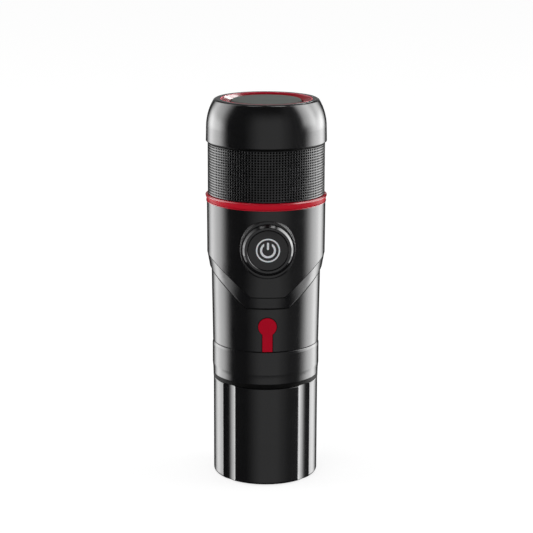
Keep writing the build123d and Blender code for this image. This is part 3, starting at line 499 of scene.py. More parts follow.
# Sign in the button: milky, unlit, light grey rather than white.
SIGN_WHITE = GlossySkin("polycarbonate_white", "#c2c4c7", "#adb0b4", Relief.RIPPLES, 0.4, 0.004, tone_mm=1.4,
                        tone_share=0.5, gloss_mm=1.0, gloss=(0.3, 0.45), ior=1.58, milky=0.15)
# Circuit boards: green gloss with raised tracks, drawn wider than real ones so that they show.
BOARD_GREEN = GlossySkin("epoxy_board_lacquered", "#124d2b", "#2f7a48", Relief.TRACKS, 2.4, 0.03, gloss_mm=3.0,
                         gloss=(0.18, 0.3), ior=1.5)
# Cells: blue film, shiny and slightly puckered.
CELL_SLEEVE = GlossySkin("pvc_sleeve_shrunk", "#1c4f7c", "#3c6d96", Relief.PUCKERS, 1.6, 0.04, tone_mm=8.0,
                         tone_share=0.4, gloss_mm=5.0, gloss=(0.22, 0.34), ior=1.52, edge_mm=0.4)

SLOT_FINISH = {
    Slot.BLACK_GLOSS: BODY_BLACK, Slot.BLACK_MATTE: INNER_BLACK, Slot.BLACK_RUBBER: SEAL_BLACK,
    Slot.RED_GLOSS: RING_RED, Slot.RED_RUBBER: FLAP_RED, Slot.DARK_GREY: DISC_GREY,
    Slot.SILICONE: MILKY_SILICONE, Slot.STEEL: STAINLESS, Slot.ALUMINIUM: CAST_ALUMINIUM,
    Slot.BOARD_GREEN: BOARD_GREEN, Slot.CELL_SLEEVE: CELL_SLEEVE, Slot.SMOKE_CLEAR: SMOKED_TANK,
    Slot.WHITE_LIGHT: SIGN_WHITE,
}
NODE_FINISH = {"power_button": BUTTON_BLACK, "button_bezel": BEZEL_BLACK, "lid_accent_ring": DISH_RED}


def placed(name: str, data: bpy.types.ID) -> Object:
    """Puts new data into the scene.

    Args:
        name: Name of its object.
        data: Mesh, camera or lamp.

    Returns:
        The object, at the origin.
    """
    thing = bpy.data.objects.new(name, data)
    bpy.context.scene.collection.objects.link(thing)
    return thing


def adopt(mesh: Mesh, body: Body, slot: Slot, *replaces: str) -> Object:
    """Makes a finished mesh a piece of the object, under the mesh's own name.

    Args:
        mesh: Mesh in the row frame.
        body: CAD body that it rides on.
        slot: Material slot of the record; not used.
        *replaces: CAD nodes that it stands for.

    Returns:
        The piece.
    """
    piece = placed(mesh.name, mesh)
    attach(piece, body.value)
    if replaces:
        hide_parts(*replaces)
    log.info("%s: %d faces, rides on %s", mesh.name, len(mesh.polygons), body.value)
    return piece


def turned(name: str, outline: Outline, finish: Finish, steps: int = 160, crease_deg: float = 35.0,
           lift: Callable[[float], float] = lambda angle: 0.0) -> Mesh:
    """Turns a closed outline about the vertical axis.

    Args:
        name: Name of the mesh.
        outline: Radius and height of each corner, in millimetres, in order.
        finish: Finish of the whole mesh.
        steps: Sides of the turned shape.
        crease_deg: Angle above which an edge stays sharp.
        lift: Gives the rise of the outline in millimetres at an angle round the axis.

    Returns:
        A closed mesh.
    """
    build = bmesh.new()
    rings = []
    for step in range(steps):
        angle = 2 * math.pi * step / steps
        rings.append([build.verts.new((r * math.cos(angle) * MM, r * math.sin(angle) * MM, (z + lift(angle)) * MM))
                      for r, z in outline])
    for step, here in enumerate(rings):
        there = rings[(step + 1) % steps]
        for i, (radius, _) in enumerate(outline):
            j = (i + 1) % len(outline)
            if radius > 0 or outline[j][0] > 0:
                build.faces.new((here[i], there[i], there[j], here[j]))
    bmesh.ops.remove_doubles(build, verts=build.verts, dist=WELD)
    bmesh.ops.dissolve_degenerate(build, edges=build.edges, dist=SLIVER)
    bmesh.ops.recalc_face_normals(build, faces=build.faces)
    mesh = bpy.data.meshes.new(name)
    build.to_mesh(mesh)
    build.free()
    mesh.materials.append(paint(finish))
    mesh.shade_smooth()
    mesh.set_sharp_from_angle(angle=math.radians(crease_deg))
    return mesh


class Tree(Nodes):
    """Geometry Nodes tree with named sizes, run once into a plain mesh."""

    def __init__(self, name: str, sizes: Mapping[str, float | int]) -> None:
        """Starts the tree.

        Args:
            name: Name of the tree.
            sizes: Name and default of each size; whole numbers make counts.
        """
        super().__init__(bpy.data.node_groups.new(name, "GeometryNodeTree"))
        self.name = name
        self.sizes = dict(sizes)
        for way in ("INPUT", "OUTPUT"):
            self.tree.interface.new_socket("Geometry", in_out=way, socket_type="NodeSocketGeometry")
        for size, value in sizes.items():
            kind = "NodeSocketInt" if isinstance(value, int) else "NodeSocketFloat"
            self.tree.interface.new_socket(size, in_out="INPUT", socket_type=kind).default_value = value
        self.given = self.add("NodeGroupInput").outputs

    def close(self, geometry: Node, finish: Finish, patch: Node | None = None,
              patch_finish: Finish | None = None) -> None:
        """Ends the tree in plain meshes with their material.

        Args:
            geometry: Node that gives the result of the tree.
            finish: Finish of all of it.
            patch: Node that picks the faces with another finish, if there are any.
            patch_finish: Finish of those faces.
        """
        real = self.add("GeometryNodeRealizeInstances", {"Geometry": geometry})
        painted = self.add("GeometryNodeSetMaterial", {"Geometry": real, "Material": paint(finish)})
        if patch is not None:
            painted = self.add("GeometryNodeSetMaterial", {
                "Geometry": painted, "Selection": patch, "Material": paint(patch_finish)})
        self.add("NodeGroupOutput", {"Geometry": painted})

    def grow(self, host_points: Sequence[Vector] = ()) -> Mesh:
        """Runs the tree.

        Args:
            host_points: Points that the tree starts from.

        Returns:
            The result as a plain mesh with its faces outward.
        """
        seed = bpy.data.meshes.new(self.name + "_seed")
        seed.from_pydata([tuple(p) for p in host_points], [], [])
        host = placed(seed.name, seed)
        modifier = host.modifiers.new("tree", "NODES")
        modifier.node_group = self.tree
        for item in self.tree.interface.items_tree:
            if item.in_out == "INPUT" and item.name in self.sizes:
                modifier[item.identifier] = self.sizes[item.name]
        bpy.context.view_layer.update()
        graph = bpy.context.evaluated_depsgraph_get()
        mesh = bpy.data.meshes.new_from_object(host.evaluated_get(graph))
        mesh.name = self.name
        host.modifiers.remove(modifier)
        bpy.data.objects.remove(host)
        build = bmesh.new()
        build.from_mesh(mesh)
        bmesh.ops.recalc_face_normals(build, faces=build.faces)
        build.to_mesh(mesh)
        build.free()
        return mesh


@dataclass
class OnNode:
    """Sub-assembly that takes its height and girth from a CAD node."""

    node: str
    low_mm: float = field(init=False)
    high_mm: float = field(init=False)
    outer_mm: float = field(init=False)

    def __post_init__(self) -> None:
        """Reads the sizes of the node."""
        low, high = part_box(self.node)
        self.low_mm, self.high_mm, self.outer_mm = low.z / MM, high.z / MM, high.x / MM


@dataclass
class GripBand(OnNode):
    """Band round the water tank, with a grid of small square pits pressed into it."""

    node: str = "tank_grip_band"
    columns: int = 125
    rows: int = 19
    foot_mm: float = 0.6
    groove_mm: float = 1.1
    groove_depth_mm: float = 0.5
    pit_depth_mm: float = 0.5
    rib_share: float = 0.3
    floor_share: float = 0.5
    edge_mm: float = 0.25
    wall_mm: float = 1.9
    pit_shade_share: float = 0.75
    raw_span: float = 0.4
    weld_mm: float = 0.001

    def build(self) -> None:
        """Makes the band in place of its plain CAD ring."""
        adopt(self.pressed(), Body.WATER_TANK, Slot.BLACK_MATTE, self.node)

    def profile(self) -> list[Vector]:
        """Closed outline of the band, from its inner lower corner outward and up.

        Returns:
            Radius and height in metres, and one in rows that have pits or zero in the others.
        """
        inner, outer, low, high = self.outer_mm - self.wall_mm, self.outer_mm, self.low_mm, self.high_mm
        pitch = (high - low - self.foot_mm - self.groove_mm) / self.rows
        steps = ((self.rib_share / 2, 0), (0.5 - self.floor_share / 2, 1), (0.5 + self.floor_share / 2, 1),
                 (1 - self.rib_share / 2, 0))
        outline = [(inner, low, 0), (outer - self.edge_mm, low, 0), (outer, low + self.edge_mm, 0)]
        for row in range(self.rows):
            foot = low + self.foot_mm + row * pitch
            outline += [(outer, foot + share * pitch, pit) for share, pit in steps]
        neck, groove = outer - self.groove_depth_mm, high - self.groove_mm
        outline += [(outer, groove, 0), (neck, groove + self.edge_mm, 0), (neck, high, 0), (inner, high, 0)]
        return [Vector((radius * MM, height * MM, pit)) for radius, height, pit in outline]

    def pressed(self) -> Mesh:
        """Bends a flat grid into the band and presses its pits.

        Returns:
            The band as one closed mesh.
        """
        outline = self.profile()
        tree = Tree("grip_band", {
            "Sides": 4 * self.columns, "Points": len(outline), "Depth": self.pit_depth_mm * MM,
            "Rib": self.rib_share, "Floor": self.floor_share,
            "Raw": (self.outer_mm - self.pit_shade_share * self.pit_depth_mm) * MM,
            "Raw Span": self.raw_span * self.pit_depth_mm * MM})
        given = tree.given
        position = tree.add("GeometryNodeInputPosition")
        flat = tree.add("ShaderNodeSeparateXYZ", {0: position}).outputs
        made: dict[Any, Any] = {"x": flat["X"], "y": flat["Y"]}
        made.update({size.lower(): given[size] for size in ("Sides", "Points", "Rib", "Floor")})
        # Of four sides in a row, two bound a rib and two the floor of a pit.
        for name, operation, *terms in (
                ("columns end", "ADD", "sides", 1.0), ("rows end", "ADD", "points", 1.0),
                ("side", "MULTIPLY_ADD", "sides", 0.5, "x"), ("side", "ROUND", "side"),
                ("point", "MULTIPLY_ADD", "points", 0.5, "y"), ("point", "ROUND", "point"),
                ("point", "MODULO", "point", "points"),
                ("phase", "MODULO", "side", 4.0), ("column", "SUBTRACT", "side", "phase"),
                ("in pit", "GREATER_THAN", "phase", 1.5),
                ("odd", "MODULO", "phase", 2.0), ("hand", "SUBTRACT", "odd", 0.5),
                ("wider", "SUBTRACT", "floor", "rib"), ("width", "MULTIPLY_ADD", "in pit", "wider", "rib"),
                ("shift", "MULTIPLY", "hand", "width"), ("shift", "MULTIPLY_ADD", "in pit", 0.5, "shift"),
                ("turn", "MULTIPLY_ADD", "shift", 4.0, "column"), ("turn", "DIVIDE", "turn", "sides"),
                ("angle", "MULTIPLY", "turn", 2 * math.pi),
                ("across", "COSINE", "angle"), ("back", "SINE", "angle")):
            terms = {i: made.get(term, term) for i, term in enumerate(terms)}
            made[name] = tree.add(MATH, terms, operation=operation)
        grid = tree.add("GeometryNodeMeshGrid", {
            "Size X": given["Sides"], "Size Y": given["Points"],
            "Vertices X": made["columns end"], "Vertices Y": made["rows end"]})
        corner = tree.add("GeometryNodeSampleIndex", {
            0: given["Geometry"], 1: position, "Index": made["point"]}, data_type="FLOAT_VECTOR")
        corner = tree.add("ShaderNodeSeparateXYZ", {0: corner}).outputs
        pressed = tree.add(MATH, {0: made["in pit"], 1: corner["Z"]}, operation="MULTIPLY")
        pressed = tree.add(MATH, {0: pressed, 1: given["Depth"]}, operation="MULTIPLY")
        radius = tree.add(MATH, {0: corner["X"], 1: pressed}, operation="SUBTRACT")
        place = tree.add("ShaderNodeCombineXYZ", {
            0: tree.add(MATH, {0: made["across"], 1: radius}, operation="MULTIPLY"),
            1: tree.add(MATH, {0: made["back"], 1: radius}, operation="MULTIPLY"), 2: corner["Y"]})
        bent = tree.add("GeometryNodeSetPosition", {"Geometry": grid, "Position": place})
        joined = tree.add("GeometryNodeMergeByDistance", {"Geometry": bent, "Distance": self.weld_mm * MM})
        # Faces near the floor of each pit take the near black finish, which paints the shade in the pits.
        plan = tree.add("ShaderNodeVectorMath", {0: position, 1: (1.0, 1.0, 0.0)}, operation="MULTIPLY")
        reach = tree.add("ShaderNodeVectorMath", {0: plan}, operation="LENGTH")
        pit_shade_faces = tree.add(MATH, {0: reach, 1: given["Raw"], 2: given["Raw Span"]}, operation="COMPARE")
        tree.close(joined, GRIP_BLACK, pit_shade_faces, PIT_BLACK)
        return tree.grow(outline)


@dataclass
class ScrewSet:
    """Screws that hold a plate: pan heads with a hexagon socket, on a ring."""

    name: str
    circle_mm: float
    angles_deg: Sequence[float]
    head_mm: float
    tip_mm: float
    seat_mm: float
    head_radius_mm: float = 1.9
    crown_mm: float = 0.45
    crown_round_mm: Span = (0.15, 0.18)
    crown_inset_mm: float = 0.5
    shank_radius_mm: float = 0.98
    point_mm: float = 0.5
    point_share: float = 0.6
    socket_radius_mm: float = 0.95
    socket_depth_mm: float = 0.8
    socket_share: float = 0.92
    mouth_mm: float = 0.1

    def one(self) -> Object:
        """One screw, standing on its tip or its head as it does in the maker, with its socket drawn into a hexagon.

        Returns:
            An object for the tree to repeat.
        """
        up = 1.0 if self.head_mm > self.tip_mm else -1.0
        top, seat, tip, head = self.head_mm, self.seat_mm, self.tip_mm, self.head_radius_mm
        bore, floor = self.socket_radius_mm * self.socket_share, top - up * self.socket_depth_mm
        outline = [
            (0.0, tip), (self.shank_radius_mm * self.point_share, tip),
            (self.shank_radius_mm, tip + up * self.point_mm), (self.shank_radius_mm, seat), (head, seat),
            (head, top - up * self.crown_mm), (head - self.crown_round_mm[0], top - up * self.crown_round_mm[1]),
            (head - self.crown_inset_mm, top), (self.socket_radius_mm, top), (bore, top - up * self.mouth_mm),
            (bore, floor), (0.0, floor),
        ]
        mesh = turned(self.name + "_one", outline, SCREW_STEEL, steps=30)
        for vertex in mesh.vertices:
            radius, below = math.hypot(vertex.co.x, vertex.co.y) / MM, (top - vertex.co.z / MM) * up
            if 0 < radius < self.socket_radius_mm and 0 < below - self.mouth_mm / 2 < self.socket_depth_mm:
                turn = math.atan2(vertex.co.y, vertex.co.x) % (math.pi / 3) - math.pi / 6
                share = math.cos(math.pi / 6) / math.cos(turn)
                vertex.co.x *= share
                vertex.co.y *= share
        return placed(mesh.name, mesh)

    def build(self, body: Body, node: str) -> None:
        """Sets the screws in their places.

        Args:
            body: CAD body that they ride on.
            node: CAD node that they stand for.
        """
        one = self.one()
        tree = Tree(self.name, {"Scale": 1.0})
        cloud = tree.add("GeometryNodeMeshToPoints", {"Mesh": tree.given["Geometry"]})
        source = tree.add("GeometryNodeObjectInfo", {"Object": one}).outputs["Geometry"]
        screws = tree.add("GeometryNodeInstanceOnPoints", {
            "Points": cloud, "Instance": source, "Scale": tree.given["Scale"]})
        tree.close(screws, SCREW_STEEL)
        turns = map(math.radians, self.angles_deg)
        places = [Vector((math.cos(turn), math.sin(turn), 0.0)) * self.circle_mm * MM for turn in turns]
        adopt(tree.grow(places), body, Slot.STEEL, node)
        bpy.data.objects.remove(one)


@dataclass
class TankThread:
    """Raised screw thread round the tank's mouth, with ends that run out."""

    radius_mm: float = 29.8
    low_mm: float = 203.0
    high_mm: float = 207.2
    turns: float = 1.4
    depth_mm: float = 0.2
    foot_mm: float = 1.3
    crest_share: float = 0.35
    end_share: float = 0.05
    fade: float = 14.0
    steps: int = 96

    def build(self) -> None:
        """Winds the ridge and fits it to its wall."""
        tree = Tree("tank_mouth_thread", {
            "Radius": self.radius_mm * MM, "Rise": (self.high_mm - self.low_mm) * MM, "Turns": self.turns,
            "Low": self.low_mm * MM, "Depth": self.depth_mm * MM, "Foot": self.foot_mm * MM, "Fade": self.fade})
        given = tree.given
        line = tree.add("GeometryNodeCurveSpiral", {
            "Resolution": self.steps, "Rotations": given["Turns"], "Start Radius": given["Radius"],
            "End Radius": given["Radius"], "Height": given["Rise"]})
        lift = tree.add("ShaderNodeCombineXYZ", {0: 0.0, 1: 0.0, 2: given["Low"]})
        raised = tree.add("GeometryNodeTransform", {"Geometry": line, "Translation": lift})
        upright = tree.add("GeometryNodeSetCurveNormal", {"Curve": raised}, mode="Z_UP")
        along = tree.add("GeometryNodeSplineParameter").outputs["Factor"]
        ahead = tree.add(MATH, {0: along, 1: given["Fade"]}, operation="MULTIPLY")
        behind = tree.add(MATH, {0: given["Fade"], 1: ahead}, operation="SUBTRACT")
        nearer = tree.add(MATH, {0: ahead, 1: behind}, operation="MINIMUM")
        fade = tree.add("ShaderNodeMapRange", {"Value": nearer, "To Min": self.end_share})
        profile = tree.add("GeometryNodeCurvePrimitiveQuadrilateral", {
            "Bottom Width": given["Foot"], "Offset": 0.0,
            "Top Width": tree.add(MATH, {0: given["Foot"], 1: self.crest_share}, operation="MULTIPLY"),
            "Height": tree.add(MATH, {0: given["Depth"], 1: 2.0}, operation="MULTIPLY")}, mode="TRAPEZOID")
        quarter = tree.add("GeometryNodeTransform", {"Geometry": profile, "Rotation": (0.0, 0.0, math.pi / 2)})
        ridge = tree.add("GeometryNodeCurveToMesh", {
            "Curve": upright, "Profile Curve": quarter, "Scale": fade, "Fill Caps": True})
        tree.close(ridge, SMOKED_TANK)
        adopt(tree.grow(), Body.WATER_TANK, Slot.SMOKE_CLEAR)


@dataclass
class PowerSocket:
    """Contacts of the charging socket, seen when the red flap is open: sleeve and pin."""

    mouth_mm: float = 28.4
    height_mm: float = 96.7
    bore_mm: float = 2.72
    wall_mm: float = 0.25
    depth_mm: float = 8.6
    lip_mm: float = 0.06
    pin_mm: float = 1.05
    pin_length_mm: float = 6.3
    pin_cap_mm: float = 1.6
    pin_point_mm: float = 0.4
    pin_point_share: float = 0.6

    def build(self) -> None:
        """Makes the sleeve and the cap of the pin, each turned upright and then laid to face the front."""
        inside, front, tip = self.bore_mm - self.wall_mm, self.depth_mm, self.pin_length_mm
        sleeve = [(inside, 0.0), (self.bore_mm, 0.0), (self.bore_mm, front),
                  (self.bore_mm - self.wall_mm / 2, front + self.lip_mm), (inside, front)]
        pin = [(0.0, tip - self.pin_cap_mm), (self.pin_mm, tip - self.pin_cap_mm),
               (self.pin_mm, tip - self.pin_point_mm), (self.pin_mm * self.pin_point_share, tip),
               (0.0, tip + self.lip_mm)]
        back = Vector((0.0, -(self.mouth_mm - self.depth_mm) * MM, self.height_mm * MM))
        for name, outline, steps in (("socket_sleeve", sleeve, 64), ("socket_pin_cap", pin, 40)):
            mesh = turned(name, outline, CONTACT_NICKEL, steps)
            mesh.transform(Matrix.Translation(back) @ Matrix.Rotation(math.pi / 2, 4, "X"))
            adopt(mesh, Body.MAIN_UNIT, Slot.STEEL)


@dataclass
class BibShadeLines(OnNode):
    """Two dull black strips round the housing that paint shade: a line under the bib's edge and a line over its
    bevel.
    """

    node: str = "lower_housing"
    edge_shade_width_mm: float = 0.6
    edge_shade_proud_mm: float = 0.35
    line_width_mm: float = 0.42
    line_proud_mm: float = 0.07
    depth_mm: float = 0.3
    round_mm: float = 0.03
    round_share: float = 0.15
    wall_mm: float = 34.36
    edge_height_mm: float = 26.2
    bevel_height_mm: float = 7.0
    bib_half_width_mm: float = 12.4
    slope_deg: float = 43.0

    def build(self) -> None:
        """Lays both lines round the housing."""
        # Each strip is a dark piece that paints a line of shade along the housing's step.
        self.line("housing_gasket", self.outer_mm, self.edge_shade_proud_mm, self.edge_shade_width_mm, 0.0)
        self.line("bevel_line", self.wall_mm, self.line_proud_mm, self.line_width_mm, self.bevel_height_mm)

    def line(self, name: str, wall: float, proud: float, width: float, bevel: float) -> None:
        """Lays one line, which drops to the bib in front and behind. All sizes are in millimetres.

        Args:
            name: Name of the piece.
            wall: Radius of the wall that it lies on.
            proud: How far it stands out of the wall.
            width: Width of the line.
            bevel: Height of the bevel between the bib's edge and the line, or zero.
        """
        rise = math.tan(math.radians(self.slope_deg))

        def height(angle: float) -> float:
            """Height of the line's upper edge at an angle round the axis."""
            beside = abs(wall * math.cos(angle)) - self.bib_half_width_mm
            sloped = beside * rise + bevel * math.hypot(1.0, rise * math.sin(angle))
            return self.low_mm + self.edge_height_mm + max(bevel, sloped)

        inner, outer, corner = wall - self.depth_mm, wall + proud, self.round_share * width
        outline = [(inner, -width), (outer - self.round_mm, -width), (outer, corner - width), (outer, -corner),
                   (outer - self.round_mm, 0.0), (inner, 0.0)]
        adopt(turned(name, outline, SEAL_BLACK, steps=360, lift=height), Body.MAIN_UNIT, Slot.BLACK_RUBBER)


@dataclass
class AccentRing(OnNode):
    """Red ring in three courses: a fine lip at the foot, a face that leans in over it, and a bevelled crest."""

    node: str = "accent_ring"
    inner_mm: float = 33.0
    foot_mm: float = 34.62
    lip_mm: float = 34.9
    lip_height_mm: float = 0.6
    cove_mm: float = 34.4
    crest_height_mm: float = 1.05
    crest_wall_mm: float = 0.3
    round_mm: float = 0.12

    def build(self) -> None:
        """Turns the three courses in place of the plainer CAD node."""
        inner, foot, top, outer, soft = self.inner_mm, self.low_mm, self.high_mm, self.outer_mm, self.round_mm
        seat, ledge = foot + self.lip_height_mm, top - self.crest_height_mm
        bevel = self.crest_height_mm - self.crest_wall_mm
        lip = [(inner, foot), (self.foot_mm, foot), (self.lip_mm, foot + soft), (self.lip_mm, seat - soft),
               (self.cove_mm, seat), (inner, seat)]
        face = [(inner, seat), (self.cove_mm, seat), (outer - soft, ledge), (inner, ledge)]
        crest = [(inner, ledge), (outer - soft, ledge), (outer, ledge + soft), (outer, top - bevel),
                 (outer - bevel, top), (inner, top)]
        for name, outline, finish, replaced in (("accent_ring_lip", lip, RING_RED, ()),
                                                ("accent_ring_face", face, RING_FACE_RED, (self.node,)),
                                                ("accent_ring_crest", crest, RING_RED, ())):
            adopt(turned(name, outline, finish, steps=300), Body.MAIN_UNIT, Slot.RED_GLOSS, *replaced)


@dataclass
class LidBead(OnNode):
    """Low rounded bead on the rim of the lid's red ring, painted a paler pink as a highlight, which draws a fine
    line round it.
    """

    node: str = "lid_accent_ring"
    width_mm: float = 0.95
    height_mm: float = 0.195
    sunk_mm: float = 0.1
    crown: Span = (0.25, 0.65)
    shoulders: Span = (0.4, 0.3)

    def build(self) -> None:
        """Turns the bead on the ring's rim."""
        outer, inner, top = self.outer_mm, self.outer_mm - self.width_mm, self.high_mm
        low, high = top - self.sunk_mm, top + self.height_mm
        outside, inside = (top + share * self.height_mm for share in self.shoulders)
        outline = [(inner, low), (outer, low), (outer, outside)]
        outline += [(outer - share * self.width_mm, high) for share in self.crown] + [(inner, inside)]
        adopt(turned("lid_ring_bead", outline, BEAD_RED, steps=240, crease_deg=80.0), Body.LID, Slot.RED_GLOSS)


@dataclass
class CoffeeMaker:
    """The whole object: CAD nodes with their finishes and the small parts added to them."""

    screw_angles: tuple[float, ...] = (30.0, 150.0, -40.0, -140.0)

    def dress_nodes(self, nodes: Mapping[str, Object]) -> None:
        """Gives every CAD node the finish of its slot.

        Args:
            nodes: CAD nodes by name.
        """
        for name, node in sorted(nodes.items()):
            for place in node.material_slots:
                slot = Slot(place.material.name.split(".")[0])
                place.material = paint(NODE_FINISH.get(name, SLOT_FINISH[slot]))
            log.info("%s: %s", name, node.material_slots[0].material.name)

    def build(self) -> None:
        """Makes the pieces that the CAD leaves to the scene."""
        GripBand().build()
        ScrewSet("base_screw_set", circle_mm=26.15, angles_deg=self.screw_angles, head_mm=76.82, tip_mm=90.1,
                 seat_mm=78.2).build(Body.MAIN_UNIT, "base_screws")
        ScrewSet("deck_screw_set", circle_mm=22.0, angles_deg=self.screw_angles, head_mm=167.88, tip_mm=162.4,
                 seat_mm=166.5).build(Body.MAIN_UNIT, "deck_screws")
        TankThread().build()
        PowerSocket().build()
        BibShadeLines().build()
        AccentRing().build()
        LidBead().build()


@dataclass
class Camera:
    """Camera of the photo, found from the circles of the object."""

    place_mm: tuple[float, float, float] = (-32.2, -981.4, 361.1)
    pitch_deg: float = 13.52
    turn_deg: float = 1.9
    roll_deg: float = 0.21
    focal_pixels: float = 1717.4
    sight: Span = (0.05, 60.0)

    def build(self) -> None:
        """Sets the camera up."""
        data = bpy.data.cameras.new("photo_camera")
        data.sensor_width = SENSOR_MM
        data.lens = self.focal_pixels / PHOTO_PIXELS * SENSOR_MM
        data.clip_start, data.clip_end = self.sight
        camera = placed("photo_camera", data)
        aim = (Matrix.Rotation(math.radians(-self.turn_deg), 4, "Z")
               @ Matrix.Rotation(math.radians(90.0 - self.pitch_deg), 4, "X")
               @ Matrix.Rotation(math.radians(self.roll_deg), 4, "Z"))
        camera.matrix_world = Matrix.Translation(Vector(self.place_mm) * MM) @ aim
        bpy.context.scene.camera = camera


@dataclass(frozen=True)
class SoftPanel:
    """Lit field of the tent cloth, with a fade of its own width along each of its four sides.

    Bearings are in degrees to the right of the front. Slopes are rise over run, seen from the object.
    """

    level: float
    bearings: Span
    bearing_fades: Span
    slopes: Span
    slope_fades: Span

    def add_to(self, cloth: Surface, bearing: Any, slope: Any, total: Any) -> Node:
        """Adds the panel's light to that of the others.

        Args:
            cloth: Material of the tent.
            bearing: Node that gives the bearing of a point in degrees.
            slope: Node that gives its slope.
            total: Light of the panels before it.

        Returns:
            Node that gives the light with this panel.
        """
        middle = sum(self.bearings) / 2
        offset = cloth.add(MATH, {0: bearing, 1: middle}, operation="SUBTRACT")
        around = cloth.add(MATH, {0: offset, 1: 180.0, 2: -180.0}, operation="WRAP")
        share = None
        for value, centre, span, fades in ((around, middle, self.bearings, self.bearing_fades),
                                           (slope, 0.0, self.slopes, self.slope_fades)):
            start, end = span[0] - centre, span[1] - centre
            for full, empty in ((start, start - fades[0]), (end, end + fades[1])):
                window = cloth.add("ShaderNodeMapRange", {"Value": value, "From Min": empty, "From Max": full},
                                   interpolation_type="SMOOTHSTEP")
                share = window if share is None else cloth.add(MATH, {0: share, 1: window}, operation="MULTIPLY")
        return cloth.add(MATH, {0: share, 1: self.level, 2: total}, operation="MULTIPLY_ADD")


@dataclass(frozen=True)
class SoftLamp:
    """Large soft lamp for the dull surfaces, kept out of the reflections."""

    name: str
    place: tuple[float, float, float]
    size: float
    watts: float

    def build(self) -> None:
        """Hangs the lamp and aims it at the middle of the object."""
        data = bpy.data.lights.new(self.name, "AREA")
        data.shape, data.size, data.energy = "SQUARE", self.size, self.watts
        lamp, place = placed(self.name, data), Vector(self.place)
        aim = (Vector((0.0, 0.0, MIDDLE_HEIGHT)) - place).to_track_quat("-Z", "Y").to_matrix().to_4x4()
        lamp.matrix_world = Matrix.Translation(place) @ aim
        lamp.visible_glossy = False


# Bearings and fades of the panels beside and before the object.
LEFT: tuple[Span, Span] = ((-125.0, -106.0), (30.0, 28.0))
RIGHT: tuple[Span, Span] = ((104.0, 122.0), (32.0, 30.0))
FRONT: tuple[Span, Span] = ((-8.0, 20.0), (40.0, 34.0))


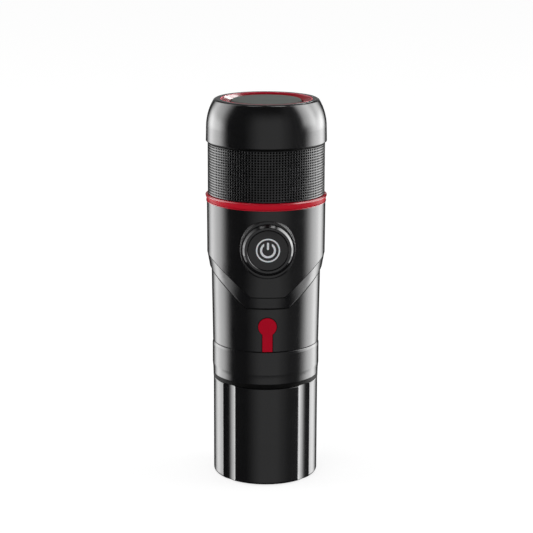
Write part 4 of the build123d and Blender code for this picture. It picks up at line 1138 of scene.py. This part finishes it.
@dataclass
class Studio:
    """Plain studio: pale floor, white room, soft lamps, and a tent that is seen only in reflections."""

    tent_radius: float = 2.5
    tent_half_height: float = 30.0
    tent_sides: int = 96
    tent_dim: float = 0.03
    room_level: float = 0.72
    floor_veil: float = 0.74
    floor_reach: float = 12.0
    floor_sink: float = 0.0001
    floor_grey: str = "#9a9a9a"
    panels: tuple[SoftPanel, ...] = (
        # Left and right side, from the height of the walls' reflection upward.
        SoftPanel(5.2, *LEFT, (-0.44, 0.1), (0.05, 2.2)),
        SoftPanel(6.0, *RIGHT, (-0.44, 0.1), (0.05, 2.2)),
        # Brighter at the height that the bevel over the collar's seam throws back.
        SoftPanel(2.3, *LEFT, (-0.03, 0.06), (0.10, 0.20)),
        SoftPanel(2.7, *RIGHT, (-0.03, 0.06), (0.10, 0.20)),
        # The same sides near the ceiling, for the narrow bevels that face up.
        SoftPanel(5.8, (-140.0, -95.0), (18.0, 20.0), (3.0, 6.5), (0.8, 2.0)),
        SoftPanel(10.0, (95.0, 140.0), (20.0, 18.0), (3.0, 6.5), (0.8, 2.0)),
        # The same sides low down, dimmer, for the bevel of the bib.
        SoftPanel(1.8, *LEFT, (-0.75, -0.50), (0.1, 0.05)),
        SoftPanel(2.1, *RIGHT, (-0.75, -0.50), (0.1, 0.05)),
        # Front, with a faint rest on its right, and the same again under a dark stripe.
        SoftPanel(0.56, *FRONT, (-0.54, 0.30), (0.06, 0.7)),
        SoftPanel(0.13, (45.0, 75.0), (15.0, 15.0), (-0.54, 1.1), (0.06, 1.0)),
        SoftPanel(0.56, *FRONT, (-1.3, -0.95), (0.12, 0.06)),
        # Upper right, for the bevel of the button's ring.
        SoftPanel(5.2, (80.0, 100.0), (14.0, 14.0), (0.24, 1.2), (0.30, 0.9)),
        # Behind, for the top of the lid, with two small bright spots for its red ring.
        SoftPanel(0.22, (164.0, 196.0), (6.0, 6.0), (0.05, 0.60), (0.05, 0.4)),
        SoftPanel(20.0, (168.0, 169.5), (1.0, 1.0), (0.52, 0.66), (0.04, 0.04)),
        SoftPanel(20.0, (171.5, 172.5), (1.0, 1.0), (0.36, 0.44), (0.03, 0.03)),
    )
    lamps: tuple[SoftLamp, ...] = (
        SoftLamp("soft_lamp_front", (-0.9, -1.3, 1.5), 1.2, 5.0),
        SoftLamp("soft_lamp_left", (-1.6, 0.1, 1.1), 1.2, 7.0),
        SoftLamp("soft_lamp_right", (1.6, 0.1, 1.1), 1.2, 8.0),
    )

    def build(self) -> None:
        """Sets up floor, room, tent and lamps."""
        bpy.context.scene.view_settings.view_transform = "Standard"
        self.room()
        self.floor()
        self.tent()
        for lamp in self.lamps:
            lamp.build()

    def room(self) -> None:
        """White backdrop for what looks at it, and even light for everything else."""
        world = bpy.data.worlds.new("white_room")
        bpy.context.scene.world = world
        world.use_nodes = True
        world.cycles.sampling_method = "NONE"
        world.node_tree.nodes.clear()
        air = Nodes(world.node_tree)
        path = air.add("ShaderNodeLightPath").outputs
        seen = air.add(MATH, {0: path["Is Camera Ray"], 1: path["Is Glossy Ray"]}, operation="ADD")
        seen = air.add(MATH, {0: seen, 1: path["Is Transmission Ray"]}, operation="ADD")
        level = air.add("ShaderNodeMapRange", {"Value": seen, "To Min": self.room_level, "To Max": 1.0})
        white = air.add("ShaderNodeBackground", {"Color": srgb(WHITE), "Strength": level})
        air.add("ShaderNodeOutputWorld", {"Surface": white})

    def floor(self) -> None:
        """Pale floor that reads as white and keeps a faint shadow."""
        mesh = bpy.data.meshes.new("floor")
        reach = self.floor_reach
        mesh.from_pydata([(-reach, -reach, 0), (reach, -reach, 0), (reach, reach, 0), (-reach, reach, 0)], [],
                         [(0, 1, 2, 3)])
        floor = placed("floor", mesh)
        floor.location.z = -self.floor_sink
        surface = Surface("paper_white_matte")
        paper = surface.add("ShaderNodeBsdfDiffuse", {"Color": srgb(self.floor_grey)})
        veil = surface.add("ShaderNodeEmission", {"Color": srgb(WHITE), "Strength": self.floor_veil})
        both = surface.add("ShaderNodeAddShader", {0: paper, 1: veil})
        surface.add("ShaderNodeOutputMaterial", {"Surface": both})
        mesh.materials.append(surface.material)
        floor.visible_glossy = False
        floor.visible_shadow = False

    def tent(self) -> None:
        """Round cloth tent that only reflections see."""
        build = bmesh.new()
        bmesh.ops.create_cone(build, cap_ends=True, segments=self.tent_sides, radius1=self.tent_radius,
                              radius2=self.tent_radius, depth=2 * self.tent_half_height)
        bmesh.ops.reverse_faces(build, faces=build.faces)
        mesh = bpy.data.meshes.new("light_tent")
        build.to_mesh(mesh)
        build.free()
        tent = placed("light_tent", mesh)
        for sight in ("camera", "diffuse", "transmission", "shadow", "volume_scatter"):
            setattr(tent, "visible_" + sight, False)
        mesh.materials.append(self.cloth())

    def cloth(self) -> Material:
        """Material of the tent, lit by its panels.

        Returns:
            An emitting material.
        """
        surface = Surface("cotton_tent_lit")
        axes = surface.add("ShaderNodeSeparateXYZ", {"Vector": surface.place}).outputs
        front = surface.add(MATH, {0: axes["Y"], 1: -1.0}, operation="MULTIPLY")
        bearing = surface.add(MATH, {0: axes["X"], 1: front}, operation="ARCTAN2")
        bearing = surface.add(MATH, {0: bearing}, operation="DEGREES")
        height = surface.add(MATH, {0: axes["Z"], 1: MIDDLE_HEIGHT}, operation="SUBTRACT")
        slope = surface.add(MATH, {0: height, 1: self.tent_radius}, operation="DIVIDE")
        light: Any = self.tent_dim
        for panel in self.panels:
            light = panel.add_to(surface, bearing, slope, light)
        glow = surface.add("ShaderNodeEmission", {"Color": srgb(WHITE), "Strength": light})
        surface.add("ShaderNodeOutputMaterial", {"Surface": glow})
        return surface.material


def main() -> None:
    """Builds everything in order."""
    logging.basicConfig(level=logging.INFO, format="%(name)s %(message)s")
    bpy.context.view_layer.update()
    Camera().build()
    maker = CoffeeMaker()
    maker.dress_nodes(frame["nodes"])
    maker.build()
    Studio().build()
    bpy.context.view_layer.update()
    log.info("size written")


if __name__ == "__main__":
    main()
